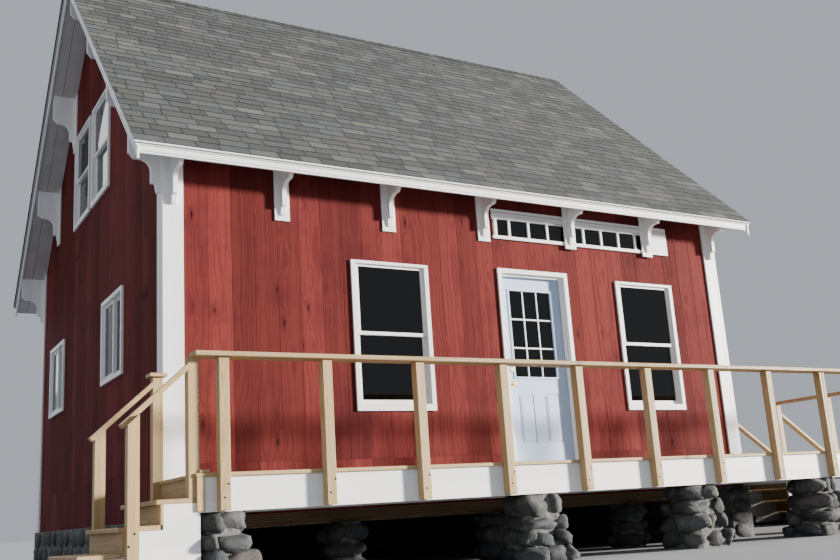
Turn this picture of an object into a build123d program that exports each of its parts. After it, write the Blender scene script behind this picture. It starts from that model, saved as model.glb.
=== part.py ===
from build123d import *
import math
import os

# A board-sided cabin with a 12 in 12 gable roof on sawn brackets, a railed deck on stone piers
# and a short stair. Millimetres: +X along the front, +Y into the cabin, +Z up. The origin is the
# middle of the cabin's footprint, at ground level under the centre pier.

# Cabin body
WIDTH = 7332.0  # over the siding of the two gable walls
DEPTH = 6480.0  # over the siding of the front and rear walls
WALL = 110.0
WALL_FOOT = 620.0  # underside of the siding above ground
HALF_W = WIDTH / 2
HALF_D = DEPTH / 2

# Deck level, floors and frame
DECK_TOP = 950.0
FLOOR_UP = 20.0  # floor above the deck
FLOOR_BOARD = 38.0
JOIST = 235.0
JOIST_T = 45.0
FLOOR_JOISTS = 13
GIRDER = 200.0
GIRDER_T = 150.0
UPPER_FLOOR_UP = 3130.0  # upper floor above the deck
LOFT_SLAB = 130.0

# Roof
PITCH = 1.0  # rise over run
OVERHANG = 355.0  # from the siding to the face of the fascia and barge boards
EAVE_UP = 3080.0  # edge of the roof boards above the deck
ROOF_T = 90.0  # square to the slope
SHINGLE_T = 12.0
DRIP = 18.0  # shingles past the fascia
BOARD_T = 20.0  # fascia and barge board
STRIP_T = 12.0  # second, upper strip on them
STRIP_H = 32.0
FASCIA_H = 122.0
BARGE_H = 172.0  # plumb height of the barge boards
SOFFIT_T = 12.0
RIDGE_CAP = 150.0  # width of one flank of the ridge cap

# Corner boards
CORNER = 200.0
CORNER_T = 25.0

# Sawn brackets
BRACKET_T = 46.0
BRACKET_CLEAR = 2.0  # behind the barge boards and fascia
BRACKET_H = 350.0  # foot of the sawn work below the foot of the fascia
BRACKET_BEAD = 16.0
BRACKET_BEADS = 3
BRACKET_BEAD_IN = 14.0  # each bead in behind the one over it
BRACKET_NOSE = 28.0  # foot of the last bead below the foot of the fascia
BRACKET_COVE_IN = 60.0  # from the last bead in to the cove
BRACKET_STEM = 70.0
BRACKET_STEM_FOOT = 262.0
BRACKET_LEDGE = 30.0
BRACKET_TOE = 15.0
PLATE_W = 160.0
PLATE_T = 20.0
PLATE_LIP = 55.0  # plate below the bracket's foot
BRACKET_STEP = 1234.0  # along the eave, from the middle one
GABLE_BRACKETS = (0.0, 1070.0, 2115.0)  # out from the ridge, besides those on the corner boards
GABLE_HEAD = 372.0  # soffit over a gable bracket, above the line where the fascia's foot would be
CORNER_HEAD = 300.0  # the same at the corner boards

# Windows, all measured over the white frames
HUNG_W = 930.0
HUNG_H = 1580.0
HUNG_UP = 625.0  # foot of the frame above the deck
LEFT_WINDOW_IN = 2411.0  # middle of the window, in from the left corner
RIGHT_WINDOW_IN = 1310.0
UPPER_H = 1300.0
UPPER_UP = 3540.0
UPPER_OFFSET = 522.0
SLIDER_W = 960.0
SLIDER_H = 965.0
SLIDER_UP = 1213.0
SLIDER_FRONT_IN = 2034.0  # middle of the window, in from the front corner
SLIDER_REAR_IN = 1250.0
FRAME_W = 48.0
FRAME_PROUD = 28.0
FRAME_DEPTH = 78.0
FRAME_LAP = 22.0  # frame lapping the siding round the opening
SASH_W = 42.0
SASH_T = 30.0
HUNG_HEAD = 32.0  # frame over a hung window's sashes
HUNG_FOOT = 70.0
SASH_HEAD = 28.0
SASH_FOOT = 48.0
MEETING = 36.0
GLASS_T = 8.0

# Transom lights high on the front
TRANSOM_UP = 2600.0
TRANSOM_H = 355.0
TRANSOM_W = 2707.0
TRANSOM_HEAD_H = 118.0
TRANSOM_FOOT_H = 38.0
TRANSOM_POST = 55.0
TRANSOM_PANES = 9
TRANSOM_BAR = 26.0
TRANSOM_BLANK = 205.0  # blank panel between the last pane and the right end
TRANSOM_CUT = 46.0  # how much further left the first of the even panes would reach than the frame
TRANSOM_PITCH = (TRANSOM_W - TRANSOM_POST - TRANSOM_BLANK + TRANSOM_CUT) / TRANSOM_PANES
TRANSOM_PAST = 58.0  # left end of the frame past the door opening

# Door
DOOR_OUTER = 998.0
DOOR_IN = 3027.0  # middle of the door, in from the right corner
DOOR_H = 2247.0  # top of the outer moulding above the deck
DOOR_MOULD = 45.0
DOOR_JAMB = 18.0
DOOR_GAP = 7.0
DOOR_T = 44.0
SILL_H = 22.0
DOOR_LIFT = 12.0  # leaf above the sill
LITE_W = 590.0
LITE_H = 1000.0
LITE_UP = 1013.0  # above the deck
LITE_LEFT = 12.0  # middle of the lite left of the leaf's
PANEL_W = 205.0
PANEL_H = 545.0
PANEL_UP = 270.0  # above the deck
PANEL_PITCH = 366.0
PANEL_GROOVE = 16.0
PANEL_SINK = 7.0
PANEL_PROUD = 4.0
LITE_RIM = 22.0
LITE_PROUD = 9.0
DOOR_STOP = 12.0
DOOR_REVEAL = 6.0
DOOR_STEP = 12.0  # edge of the jambs behind the siding
SILL_OUT = 26.0
BACKSET = 64.0
KNOB_OUT = 66.0
BOLT_OUT = 30.0
ROSE_R = 32.0
ROSE_T = 6.0
HINGE_R = 7.0
HINGE_H = 100.0
HINGE_T = 3.0
HINGE_PLATE = 42.0
HINGE_IN = 230.0
HINGE_CLEAR = 0.3
KNOB_R = 27.0
KNOB_UP = 925.0
BOLT_UP = 1095.0

# Deck
DECK_OUT = 1183.0  # from the siding to the face of the rim
DECK_PAST = 60.0  # rim past the siding at the stair
BAYS = 11
FRONT_BAYS = 8  # those up to the post just past the right corner
POST = 89.0
FIRST_POST_IN = 120.5  # middle of the first post, in from the left corner
CORNER_POST_OUT = 162.0  # middle of that post, out from the right corner
RIM_PAST_POST = 45.0  # right end of the rim past the last post
DECK_BOARD = 32.0
DECK_BOARD_GAP = 7.0
DECK_BOARDS = 8
DECK_END = 38.0  # boards past the rim at the ends
NOSING = 22.0  # boards past the rim along the front
RIM_H = 273.0
RIM_T = 38.0
DECK_JOISTS = 22
WING_BOARDS = 19  # boards behind the front ones, beside the right gable
WING_JOISTS = 6
SIDE_BAYS = 3
END_STAIR_IN = 1810.0  # second stair's near edge behind the line of the siding
DECK_JOIST_H = 235.0
RAIL_UP = 922.0  # underside of the cap above the deck
RAIL_T = 40.0
RAIL_W = 184.0
RAIL_OUT = 33.0  # cap past the outer faces of the posts
RAIL_END = 65.0  # cap past the deck rim at the head of the stair
POST_LIFT = 5.0  # feet of the rail posts above the foot of the rim

# Stair at the deck's left end
RISER = 190.0
GOING = 290.0
STEPS = 5
TREAD_T = 38.0
STAIR_NOSING = 35.0
STAIR_BACK = 60.0  # rear edge of the stair, out from the line of the siding
RISER_T = 22.0
STRINGER_T = 34.0
SLEEPER = 40.0
STAIR_RAIL_UP = 875.0  # sloping rails above the deck where they meet the top posts
STAIR_RAIL_FALL = 0.905  # drop over run
STAIR_RAIL_RUN = 541.0
STAIR_RAIL_T = 38.0
STAIR_RAIL_IN = 37.0  # front rail in over the edge of the treads
LOW_POST = 495.0  # from the top posts to the lower ones, outer faces
NEWEL_CAP = 155.0
NEWEL_CAP_T = 30.0
END_RAIL_UP = 788.0  # second stair's rails, less steep and longer
END_RAIL_RUN = 1022.0
END_LOW_POST = 985.0

# Stone piers and footings
PIER_OUT = 25.0  # head of a pier past the rim
PIER_HEAD = 420.0
PIER_FLARE = 90.0  # foot past the head, all round
FIRST_PIER = 390.0  # plumb against the stair strings
PIER_WIDTHS = (450.0, 480.0, 480.0, 480.0)
PIERS_IN = (4032.0, 1932.0, -34.0, -2600.0)  # middles of the other piers, in from the right corner
WING_PIER_IN = 380.0  # middles of the wing's rear piers, in from its two sides
HOUSE_PIER = 420.0
HOUSE_PIER_STEP = 1850.0  # out from the centre pier
FOOTING_T = 350.0
FOOTING_OUT = 40.0

# Worked-out levels and places
FLOOR_TOP = DECK_TOP + FLOOR_UP
LOFT_TOP = DECK_TOP + UPPER_FLOOR_UP
EAVE_TOP = DECK_TOP + EAVE_UP
COS = 1 / math.sqrt(1 + PITCH**2)
ROOF_PLUMB = ROOF_T / COS
SHINGLE_PLUMB = SHINGLE_T / COS
EAVE_RUN = HALF_D + OVERHANG
RIDGE_TOP = EAVE_TOP + PITCH * EAVE_RUN
GABLE_RUN = HALF_W + OVERHANG
SOFFIT = EAVE_TOP - FASCIA_H
BRACKET_OUT = OVERHANG - BOARD_T - PLATE_T - FRAME_PROUD - BRACKET_CLEAR
FRONT = -HALF_D
JOIST_TOP = FLOOR_TOP - FLOOR_BOARD
JOIST_FOOT = JOIST_TOP - JOIST
HUNG_SILL = DECK_TOP + HUNG_UP
UPPER_SILL = DECK_TOP + UPPER_UP
SLIDER_SILL = DECK_TOP + SLIDER_UP
FRONT_WINDOWS = (LEFT_WINDOW_IN - HALF_W, HALF_W - RIGHT_WINDOW_IN)
REAR_WINDOWS = (RIGHT_WINDOW_IN - HALF_W, 0, HALF_W - RIGHT_WINDOW_IN)
SLIDER_PLACES = (SLIDER_FRONT_IN - HALF_D, HALF_D - SLIDER_REAR_IN)
DOOR_MIDDLE = HALF_W - DOOR_IN
DOOR_LEFT = DOOR_MIDDLE - DOOR_OUTER / 2 + DOOR_MOULD
DOOR_RIGHT = DOOR_MIDDLE + DOOR_OUTER / 2 - DOOR_MOULD
DOOR_HEAD = DECK_TOP + DOOR_H
DOOR_TOP = DOOR_HEAD - DOOR_MOULD
SILL_TOP = DECK_TOP + SILL_H
KNOB_Z = DECK_TOP + KNOB_UP
BOLT_Z = DECK_TOP + BOLT_UP
TRANSOM_FOOT = DECK_TOP + TRANSOM_UP
TRANSOM_HEAD = TRANSOM_FOOT + TRANSOM_H
TRANSOM_LEFT = DOOR_LEFT - TRANSOM_PAST
TRANSOM_RIGHT = TRANSOM_LEFT + TRANSOM_W
DECK_LEFT = -HALF_W - DECK_PAST
FIRST_POST = FIRST_POST_IN - HALF_W
BAY = (HALF_W + CORNER_POST_OUT - FIRST_POST) / FRONT_BAYS
DECK_RIGHT = FIRST_POST + BAYS * BAY + POST / 2 + RIM_PAST_POST
RIM_TOP = DECK_TOP - DECK_BOARD
RIM_FOOT = RIM_TOP - RIM_H
RIM_FACE = FRONT - DECK_OUT
RAIL_UNDER = DECK_TOP + RAIL_UP
DECK_DEPTH = DECK_OUT + NOSING
BOARD_W = (DECK_DEPTH + DECK_BOARD_GAP) / DECK_BOARDS - DECK_BOARD_GAP
WING_REAR = FRONT + WING_BOARDS * (BOARD_W + DECK_BOARD_GAP)
END_STAIR = FRONT + END_STAIR_IN
END_RAIL_FALL = RISER / GOING
STAIR_REAR = FRONT - STAIR_BACK


def roof_height(y, below=0.0):
    """Height of the roof deck's top over y, or of a plane that far below it, measured plumb."""
    return RIDGE_TOP - PITCH * abs(y) - below


def chevron(run, top, bottom):
    """Corners of a band that follows both slopes, between two plumb depths under the roof deck."""
    outer = [(-run, roof_height(run, top)), (0, roof_height(0, top)), (run, roof_height(run, top))]
    inner = [(run, roof_height(run, bottom)), (0, roof_height(0, bottom)), (-run, roof_height(run, bottom))]
    return outer + inner


def keep(piece, name):
    """Labels a finished piece and writes it to its own file."""
    piece.label = name
    export_step(piece, f"parts/{name}.step")


os.makedirs("parts", exist_ok=True)

# Front wall: beside the door, and one piece over it that holds the transom
eave_wall = [
    (FRONT, WALL_FOOT),
    (FRONT + WALL, WALL_FOOT),
    (FRONT + WALL, roof_height(FRONT + WALL, ROOF_PLUMB)),
    (FRONT, roof_height(FRONT, ROOF_PLUMB)),
]
WINDOW_HOLE_W = HUNG_W - 2 * FRAME_LAP
WINDOW_HOLE_H = HUNG_H - 2 * FRAME_LAP
hung_middle = HUNG_SILL + HUNG_H / 2
transom_middle = ((TRANSOM_LEFT + TRANSOM_RIGHT) / 2, FRONT + WALL / 2, (TRANSOM_FOOT + TRANSOM_HEAD) / 2)
transom_hole = (TRANSOM_W - 2 * FRAME_LAP, 2 * WALL, TRANSOM_H - 2 * FRAME_LAP)

with BuildPart() as front_wall_left:
    with BuildSketch(Plane.YZ.offset(-HALF_W)):
        with BuildLine():
            Polyline(*eave_wall, close=True)
        make_face()
    extrude(amount=DOOR_LEFT + HALF_W)
    with Locations((FRONT_WINDOWS[0], FRONT + WALL / 2, hung_middle)):
        Box(WINDOW_HOLE_W, 2 * WALL, WINDOW_HOLE_H, mode=Mode.SUBTRACT)
    with Locations(transom_middle):
        Box(*transom_hole, mode=Mode.SUBTRACT)
keep(front_wall_left.part, "front_wall_left")

with BuildPart() as front_wall_right:
    with Locations((DOOR_RIGHT, FRONT, WALL_FOOT)):
        Box(
            HALF_W - DOOR_RIGHT,
            WALL,
            DOOR_TOP - WALL_FOOT,
            align=(Align.MIN, Align.MIN, Align.MIN),
        )
    with Locations((FRONT_WINDOWS[1], FRONT + WALL / 2, hung_middle)):
        Box(WINDOW_HOLE_W, 2 * WALL, WINDOW_HOLE_H, mode=Mode.SUBTRACT)
keep(front_wall_right.part, "front_wall_right")

with BuildPart() as front_wall_over_door:
    with BuildSketch(Plane.YZ.offset(DOOR_LEFT)):
        with BuildLine():
            Polyline(
                (FRONT, DOOR_TOP),
                (FRONT + WALL, DOOR_TOP),
                (FRONT + WALL, roof_height(FRONT + WALL, ROOF_PLUMB)),
                (FRONT, roof_height(FRONT, ROOF_PLUMB)),
                close=True,
            )
        make_face()
    extrude(amount=HALF_W - DOOR_LEFT)
    with Locations(transom_middle):
        Box(*transom_hole, mode=Mode.SUBTRACT)
keep(front_wall_over_door.part, "front_wall_over_door")

with BuildPart() as front_wall_sill:
    with Locations((DOOR_LEFT, FRONT, WALL_FOOT)):
        Box(
            DOOR_RIGHT - DOOR_LEFT,
            WALL,
            DECK_TOP - WALL_FOOT,
            align=(Align.MIN, Align.MIN, Align.MIN),
        )
keep(front_wall_sill.part, "front_wall_sill")

with BuildPart() as rear_wall:
    with BuildSketch(Plane.YZ.offset(-HALF_W)):
        with BuildLine():
            Polyline(*[(-y, z) for y, z in eave_wall], close=True)
        make_face()
    extrude(amount=WIDTH)
    with Locations(*[(x, HALF_D - WALL / 2, hung_middle) for x in REAR_WINDOWS]):
        Box(WINDOW_HOLE_W, 2 * WALL, WINDOW_HOLE_H, mode=Mode.SUBTRACT)
keep(rear_wall.part, "rear_wall")

# Gable walls, between the front and rear walls
gable_end = HALF_D - WALL
for side, name in ((-1, "left_gable_wall"), (1, "right_gable_wall")):
    with BuildPart() as gable_wall:
        with BuildSketch(Plane.YZ.offset(side * HALF_W)):
            with BuildLine():
                Polyline(
                    (-gable_end, WALL_FOOT),
                    (gable_end, WALL_FOOT),
                    (gable_end, roof_height(gable_end, ROOF_PLUMB)),
                    (0, roof_height(0, ROOF_PLUMB)),
                    (-gable_end, roof_height(gable_end, ROOF_PLUMB)),
                    close=True,
                )
            make_face()
        extrude(amount=-side * WALL)
        upper = UPPER_SILL + UPPER_H / 2
        with Locations(*[(side * HALF_W, y, upper) for y in (-UPPER_OFFSET, UPPER_OFFSET)]):
            Box(3 * WALL, WINDOW_HOLE_W, UPPER_H - 2 * FRAME_LAP, mode=Mode.SUBTRACT)
        with Locations(*[(side * HALF_W, y, SLIDER_SILL + SLIDER_H / 2) for y in SLIDER_PLACES]):
            Box(3 * WALL, SLIDER_W - 2 * FRAME_LAP, SLIDER_H - 2 * FRAME_LAP, mode=Mode.SUBTRACT)
    keep(gable_wall.part, name)

# Floor, loft floor and the timbers that carry them
room_w = WIDTH - 2 * WALL
room_d = DEPTH - 2 * WALL
with BuildPart() as ground_floor:
    with Locations((0, 0, JOIST_TOP)):
        Box(room_w, room_d, FLOOR_BOARD, align=(Align.CENTER, Align.CENTER, Align.MIN))
keep(ground_floor.part, "ground_floor")

with BuildPart() as upper_floor:
    with Locations((0, 0, LOFT_TOP)):
        Box(room_w, room_d, LOFT_SLAB, align=(Align.CENTER, Align.CENTER, Align.MAX))
keep(upper_floor.part, "upper_floor")

joist_pitch = (room_w - JOIST_T) / (FLOOR_JOISTS - 1)
with BuildPart() as floor_joists:
    with Locations((0, 0, JOIST_FOOT + JOIST / 2)):
        with GridLocations(joist_pitch, 1, FLOOR_JOISTS, 1):
            Box(JOIST_T, room_d, JOIST)
keep(floor_joists.part, "floor_joists")

footing_in = FOOTING_T - FOOTING_OUT
girder_len = WIDTH - 2 * footing_in
front_beam = FRONT + WALL + GIRDER_T / 2
with BuildPart() as floor_beams:
    with Locations((0, 0, JOIST_FOOT), (0, front_beam, JOIST_FOOT)):
        Box(girder_len, GIRDER_T, GIRDER, align=(Align.CENTER, Align.CENTER, Align.MAX))
    with Locations((0, -front_beam, WALL_FOOT)):
        Box(
            room_w,
            GIRDER_T,
            JOIST_FOOT - WALL_FOOT,
            align=(Align.CENTER, Align.CENTER, Align.MIN),
        )
keep(floor_beams.part, "floor_beams")

# Stone footing round three sides, and piers under the beams
with BuildPart() as foundation_walls:
    with Locations((0, 0, 0)):
        Box(
            WIDTH + 2 * FOOTING_OUT,
            DEPTH + 2 * FOOTING_OUT,
            WALL_FOOT,
            align=(Align.CENTER, Align.CENTER, Align.MIN),
        )
    with Locations((0, FRONT - FOOTING_OUT, 0)):
        Box(
            girder_len,
            DEPTH + FOOTING_OUT - footing_in,
            WALL_FOOT,
            align=(Align.CENTER, Align.MIN, Align.MIN),
            mode=Mode.SUBTRACT,
        )
keep(foundation_walls.part, "foundation_walls")

with BuildPart() as house_piers:
    for y in (0, front_beam):
        with BuildSketch():
            with Locations(*[(x, y) for x in (-HOUSE_PIER_STEP, 0, HOUSE_PIER_STEP)]):
                Rectangle(HOUSE_PIER, HOUSE_PIER)
        extrude(amount=JOIST_FOOT - GIRDER)
keep(house_piers.part, "house_piers")

# Roof: one board and shingle slope a side, and the ridge cap
slab_run = EAVE_RUN - BOARD_T
slab_half = GABLE_RUN - BOARD_T
shingle_run = EAVE_RUN + STRIP_T + DRIP
shingle_half = GABLE_RUN + STRIP_T + DRIP
for side, name in ((-1, "roof_front_slope"), (1, "roof_rear_slope")):
    with BuildPart() as roof_slope:
        with BuildSketch(Plane.YZ.offset(-slab_half)):
            with BuildLine():
                Polyline(
                    (side * slab_run, roof_height(slab_run)),
                    (0, roof_height(0)),
                    (0, roof_height(0, ROOF_PLUMB)),
                    (side * slab_run, roof_height(slab_run, ROOF_PLUMB)),
                    close=True,
                )
            make_face()
        extrude(amount=2 * slab_half)
        with BuildSketch(Plane.YZ.offset(-shingle_half)):
            with BuildLine():
                Polyline(
                    (side * shingle_run, roof_height(shingle_run, -SHINGLE_PLUMB)),
                    (0, roof_height(0, -SHINGLE_PLUMB)),
                    (0, roof_height(0)),
                    (side * shingle_run, roof_height(shingle_run)),
                    close=True,
                )
            make_face()
        extrude(amount=2 * shingle_half)
    keep(roof_slope.part, name)

with BuildPart() as ridge_cap:
    with BuildSketch(Plane.YZ.offset(-shingle_half)):
        with BuildLine():
            Polyline(*chevron(RIDGE_CAP * COS, -2 * SHINGLE_PLUMB, -SHINGLE_PLUMB), close=True)
        make_face()
    extrude(amount=2 * shingle_half)
keep(ridge_cap.part, "ridge_cap")

# Fascia: a board with a second strip along its top
strip_run = EAVE_RUN + STRIP_T
with BuildPart() as eave_fascias:
    for side in (-1, 1):
        with BuildSketch(Plane.YZ.offset(-slab_half)):
            with BuildLine():
                Polyline(
                    (side * slab_run, SOFFIT),
                    (side * slab_run, roof_height(slab_run)),
                    (side * strip_run, roof_height(strip_run)),
                    (side * strip_run, roof_height(strip_run) - STRIP_H),
                    (side * EAVE_RUN, roof_height(strip_run) - STRIP_H),
                    (side * EAVE_RUN, SOFFIT),
                    close=True,
                )
            make_face()
        extrude(amount=2 * slab_half)
keep(eave_fascias.part, "eave_fascias")

# Barge boards: an inverted V at each gable, with the same strip
with BuildPart() as barge_boards:
    for side in (-1, 1):
        with BuildSketch(Plane.YZ.offset(side * slab_half)):
            with BuildLine():
                Polyline(*chevron(strip_run, 0, BARGE_H), close=True)
            make_face()
        extrude(amount=side * BOARD_T)
        with BuildSketch(Plane.YZ.offset(side * GABLE_RUN)):
            with BuildLine():
                Polyline(*chevron(strip_run, 0, STRIP_H / COS), close=True)
            make_face()
        extrude(amount=side * STRIP_T)
keep(barge_boards.part, "barge_boards")

# Soffits: boards under the slopes, past the gables and past the eave walls
SOFFIT_PLUMB = ROOF_PLUMB + SOFFIT_T / COS
with BuildPart() as soffits:
    for side in (-1, 1):
        with BuildSketch(Plane.YZ.offset(side * HALF_W)):
            with BuildLine():
                Polyline(*chevron(slab_run, ROOF_PLUMB, SOFFIT_PLUMB), close=True)
            make_face()
        extrude(amount=side * (OVERHANG - BOARD_T))
        with BuildSketch(Plane.YZ.offset(-HALF_W)):
            with BuildLine():
                Polyline(
                    (side * slab_run, roof_height(slab_run, ROOF_PLUMB)),
                    (side * HALF_D, roof_height(HALF_D, ROOF_PLUMB)),
                    (side * HALF_D, roof_height(HALF_D, SOFFIT_PLUMB)),
                    (side * slab_run, roof_height(slab_run, SOFFIT_PLUMB)),
                    close=True,
                )
            make_face()
        extrude(amount=WIDTH)
keep(soffits.part, "soffits")


def above_soffits():
    """Outline of the space above the soffits, to trim what stands under them."""
    low = roof_height(strip_run, SOFFIT_PLUMB)
    peak = roof_height(0, SOFFIT_PLUMB)
    high = RIDGE_TOP + 2 * OVERHANG
    return [(-strip_run, low), (0, peak), (strip_run, low), (strip_run, high), (-strip_run, high)]


# Corner boards: two legs up each corner to the sloping soffits
leg = CORNER - CORNER_T
with BuildPart() as corner_boards:
    for sx in (-1, 1):
        for sy in (-1, 1):
            ox, oy = sx * HALF_W, sy * HALF_D
            foot = DECK_TOP if sy < 0 else WALL_FOOT
            with BuildSketch(Plane.XY.offset(foot)):
                with BuildLine():
                    Polyline(
                        (ox + sx * CORNER_T, oy + sy * CORNER_T),
                        (ox + sx * CORNER_T, oy - sy * leg),
                        (ox, oy - sy * leg),
                        (ox, oy),
                        (ox - sx * leg, oy),
                        (ox - sx * leg, oy + sy * CORNER_T),
                        close=True,
                    )
                make_face()
            extrude(amount=SOFFIT + 4 * CORNER - foot)
    with BuildSketch(Plane.XY.offset(WALL_FOOT)):
        with Locations((-HALF_W - CORNER_T / 2, FRONT + leg / 2)):
            Rectangle(CORNER_T, leg)
    extrude(amount=DECK_TOP - WALL_FOOT)
    with BuildSketch(Plane.YZ):
        with BuildLine():
            Polyline(*above_soffits(), close=True)
        make_face()
    extrude(amount=GABLE_RUN, both=True, mode=Mode.SUBTRACT)
keep(corner_boards.part, "corner_boards")


def bracket_side(rise):
    """Sawn side of a bracket: beads, deep cove, stem, ledge and toe, out from its back face."""
    bead_top = BRACKET_BEADS * BRACKET_BEAD - BRACKET_NOSE
    line = [(0, rise), (BRACKET_OUT, rise), (BRACKET_OUT, bead_top)]
    for k in range(BRACKET_BEADS):
        out = BRACKET_OUT - BRACKET_BEAD - k * BRACKET_BEAD_IN
        line += [(out, bead_top - k * BRACKET_BEAD), (out, bead_top - (k + 1) * BRACKET_BEAD)]
    cove_out = line[-1][0] - BRACKET_COVE_IN
    cove_down = -BRACKET_NOSE - (cove_out - BRACKET_STEM)
    line.append((cove_out, -BRACKET_NOSE))
    with BuildSketch() as side_view:
        with BuildLine():
            Polyline(*line)
            JernArc((cove_out, -BRACKET_NOSE), (-1, 0), cove_out - BRACKET_STEM, 90)
            Polyline(
                (BRACKET_STEM, cove_down),
                (BRACKET_STEM, -BRACKET_STEM_FOOT),
                (BRACKET_LEDGE, -BRACKET_STEM_FOOT),
                (BRACKET_TOE, -BRACKET_H),
                (0, -BRACKET_H),
                (0, rise),
            )
        make_face()
    return side_view.sketch


# Brackets under the eaves, sawn from thick plank on back plates, heads cut to the soffit
sawn_side = bracket_side(2 * OVERHANG)
plate_h = BRACKET_H + PLATE_LIP + 2 * OVERHANG
corner_place = HALF_W + CORNER_T - CORNER / 2
eave_places = [BRACKET_STEP * k for k in (-2, -1, 0, 1, 2)] + [-corner_place, corner_place]
with BuildPart() as eave_brackets:
    for side in (-1, 1):
        for place in eave_places:
            seat = HALF_D
            if abs(place) == corner_place:
                seat += CORNER_T
            elif side < 0 and TRANSOM_LEFT < place < TRANSOM_RIGHT:
                seat += FRAME_PROUD
            facing = Plane((place, side * (seat + PLATE_T), SOFFIT), x_dir=(0, side, 0), z_dir=(side, 0, 0))
            with BuildSketch(facing):
                add(sawn_side)
            extrude(amount=BRACKET_T / 2, both=True)
            width, lip = (BRACKET_T, 0) if abs(place) == corner_place else (PLATE_W, PLATE_LIP)
            with Locations((place, side * (seat + PLATE_T / 2), SOFFIT - BRACKET_H - lip)):
                Box(width, PLATE_T, plate_h, align=(Align.CENTER, Align.CENTER, Align.MIN))
    with BuildSketch(Plane.YZ):
        with BuildLine():
            Polyline(*above_soffits(), close=True)
        make_face()
    extrude(amount=GABLE_RUN, both=True, mode=Mode.SUBTRACT)
keep(eave_brackets.part, "eave_brackets")

# The same brackets on the gables
gable_corner = HALF_D + CORNER_T - CORNER / 2
gable_places = sorted({s * y for y in (*GABLE_BRACKETS, gable_corner) for s in (-1, 1)})
with BuildPart() as gable_brackets:
    for side in (-1, 1):
        for place in gable_places:
            cornered = abs(place) == gable_corner
            seat = HALF_W + (CORNER_T if cornered else 0)
            width, lip = (BRACKET_T, 0) if cornered else (PLATE_W, PLATE_LIP)
            upslope = max(abs(place) - BRACKET_T / 2, 0)
            top = roof_height(upslope, SOFFIT_PLUMB) - (CORNER_HEAD if cornered else GABLE_HEAD)
            facing = Plane((side * (seat + PLATE_T), place, top), x_dir=(side, 0, 0), z_dir=(0, -side, 0))
            with BuildSketch(facing):
                add(sawn_side)
            extrude(amount=BRACKET_T / 2, both=True)
            with Locations((side * (seat + PLATE_T / 2), place, top - BRACKET_H - lip)):
                Box(PLATE_T, width, plate_h, align=(Align.CENTER, Align.CENTER, Align.MIN))
    with BuildSketch(Plane.YZ):
        with BuildLine():
            Polyline(*above_soffits(), close=True)
        make_face()
    extrude(amount=GABLE_RUN, both=True, mode=Mode.SUBTRACT)
keep(gable_brackets.part, "gable_brackets")


def window_solids(wide, high, sliding=False):
    """Frame with two sashes, and their panes, round the middle of the opening, outside toward -Y."""
    outer_track = SASH_T / 2
    inner_track = 3 * SASH_T / 2
    inner_w = wide - 2 * FRAME_W
    if sliding:
        opening = (inner_w, high - 2 * FRAME_W)
        lift = 0
        sash_w = inner_w / 2 + SASH_W / 2
        slide = (inner_w - sash_w) / 2
        sashes = [(-slide, outer_track, 0, sash_w, opening[1]), (slide, inner_track, 0, sash_w, opening[1])]
        lights = [(x, y, z, w - 2 * SASH_W, h - 2 * SASH_W) for x, y, z, w, h in sashes]
    else:
        opening = (inner_w, high - HUNG_HEAD - HUNG_FOOT)
        lift = (HUNG_FOOT - HUNG_HEAD) / 2
        sash_h = opening[1] / 2 + MEETING / 2
        rise = (opening[1] - sash_h) / 2
        sashes = [
            (0, outer_track, lift + rise, inner_w, sash_h),
            (0, inner_track, lift - rise, inner_w, sash_h),
        ]
        lights = []
        for (x, y, z, w, h), head, foot in zip(sashes, (SASH_HEAD, MEETING), (MEETING, SASH_FOOT)):
            lights.append((x, y, z + (foot - head) / 2, w - 2 * SASH_W, h - head - foot))
    with BuildPart() as frame:
        with Locations((0, -FRAME_PROUD, 0)):
            Box(wide, FRAME_PROUD, high, align=(Align.CENTER, Align.MIN, Align.CENTER))
        Box(
            wide - 2 * FRAME_LAP,
            FRAME_DEPTH,
            high - 2 * FRAME_LAP,
            align=(Align.CENTER, Align.MIN, Align.CENTER),
        )
        with Locations((0, 0, lift)):
            Box(opening[0], 4 * FRAME_DEPTH, opening[1], mode=Mode.SUBTRACT)
        for x, y, z, w, h in sashes:
            with Locations((x, y, z)):
                Box(w, SASH_T, h)
        for x, y, z, w, h in lights:
            with Locations((x, y, z)):
                Box(w, 2 * SASH_T, h, mode=Mode.SUBTRACT)
    with BuildPart() as panes:
        for x, y, z, w, h in lights:
            with Locations((x, y, z)):
                Box(w, GLASS_T, h)
    return frame.part, panes.part


hung_frame, hung_panes = window_solids(HUNG_W, HUNG_H)
upper_frame, upper_panes = window_solids(HUNG_W, UPPER_H)
slider_frame, slider_panes = window_solids(SLIDER_W, SLIDER_H, sliding=True)
front_places = [Location((x, FRONT, hung_middle)) for x in FRONT_WINDOWS]
rear_places = [Location((x, HALF_D, hung_middle), (0, 0, 180)) for x in REAR_WINDOWS]
upper_places = []
slider_places = []
for side in (-1, 1):
    for y in (-UPPER_OFFSET, UPPER_OFFSET):
        upper_places.append(Location((side * HALF_W, y, UPPER_SILL + UPPER_H / 2), (0, 0, side * 90)))
    for y in SLIDER_PLACES:
        slider_places.append(Location((side * HALF_W, y, SLIDER_SILL + SLIDER_H / 2), (0, 0, side * 90)))

for wall, *kinds in (
    ("front", (front_places, hung_frame, hung_panes)),
    ("rear", (rear_places, hung_frame, hung_panes)),
    ("gable", (upper_places, upper_frame, upper_panes), (slider_places, slider_frame, slider_panes)),
):
    with BuildPart() as frames:
        for places, frame, panes in kinds:
            with Locations(*places):
                add(frame)
    keep(frames.part, f"{wall}_window_frames")
    with BuildPart() as glass:
        for places, frame, panes in kinds:
            with Locations(*places):
                add(panes)
    keep(glass.part, f"{wall}_window_glass")

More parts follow.
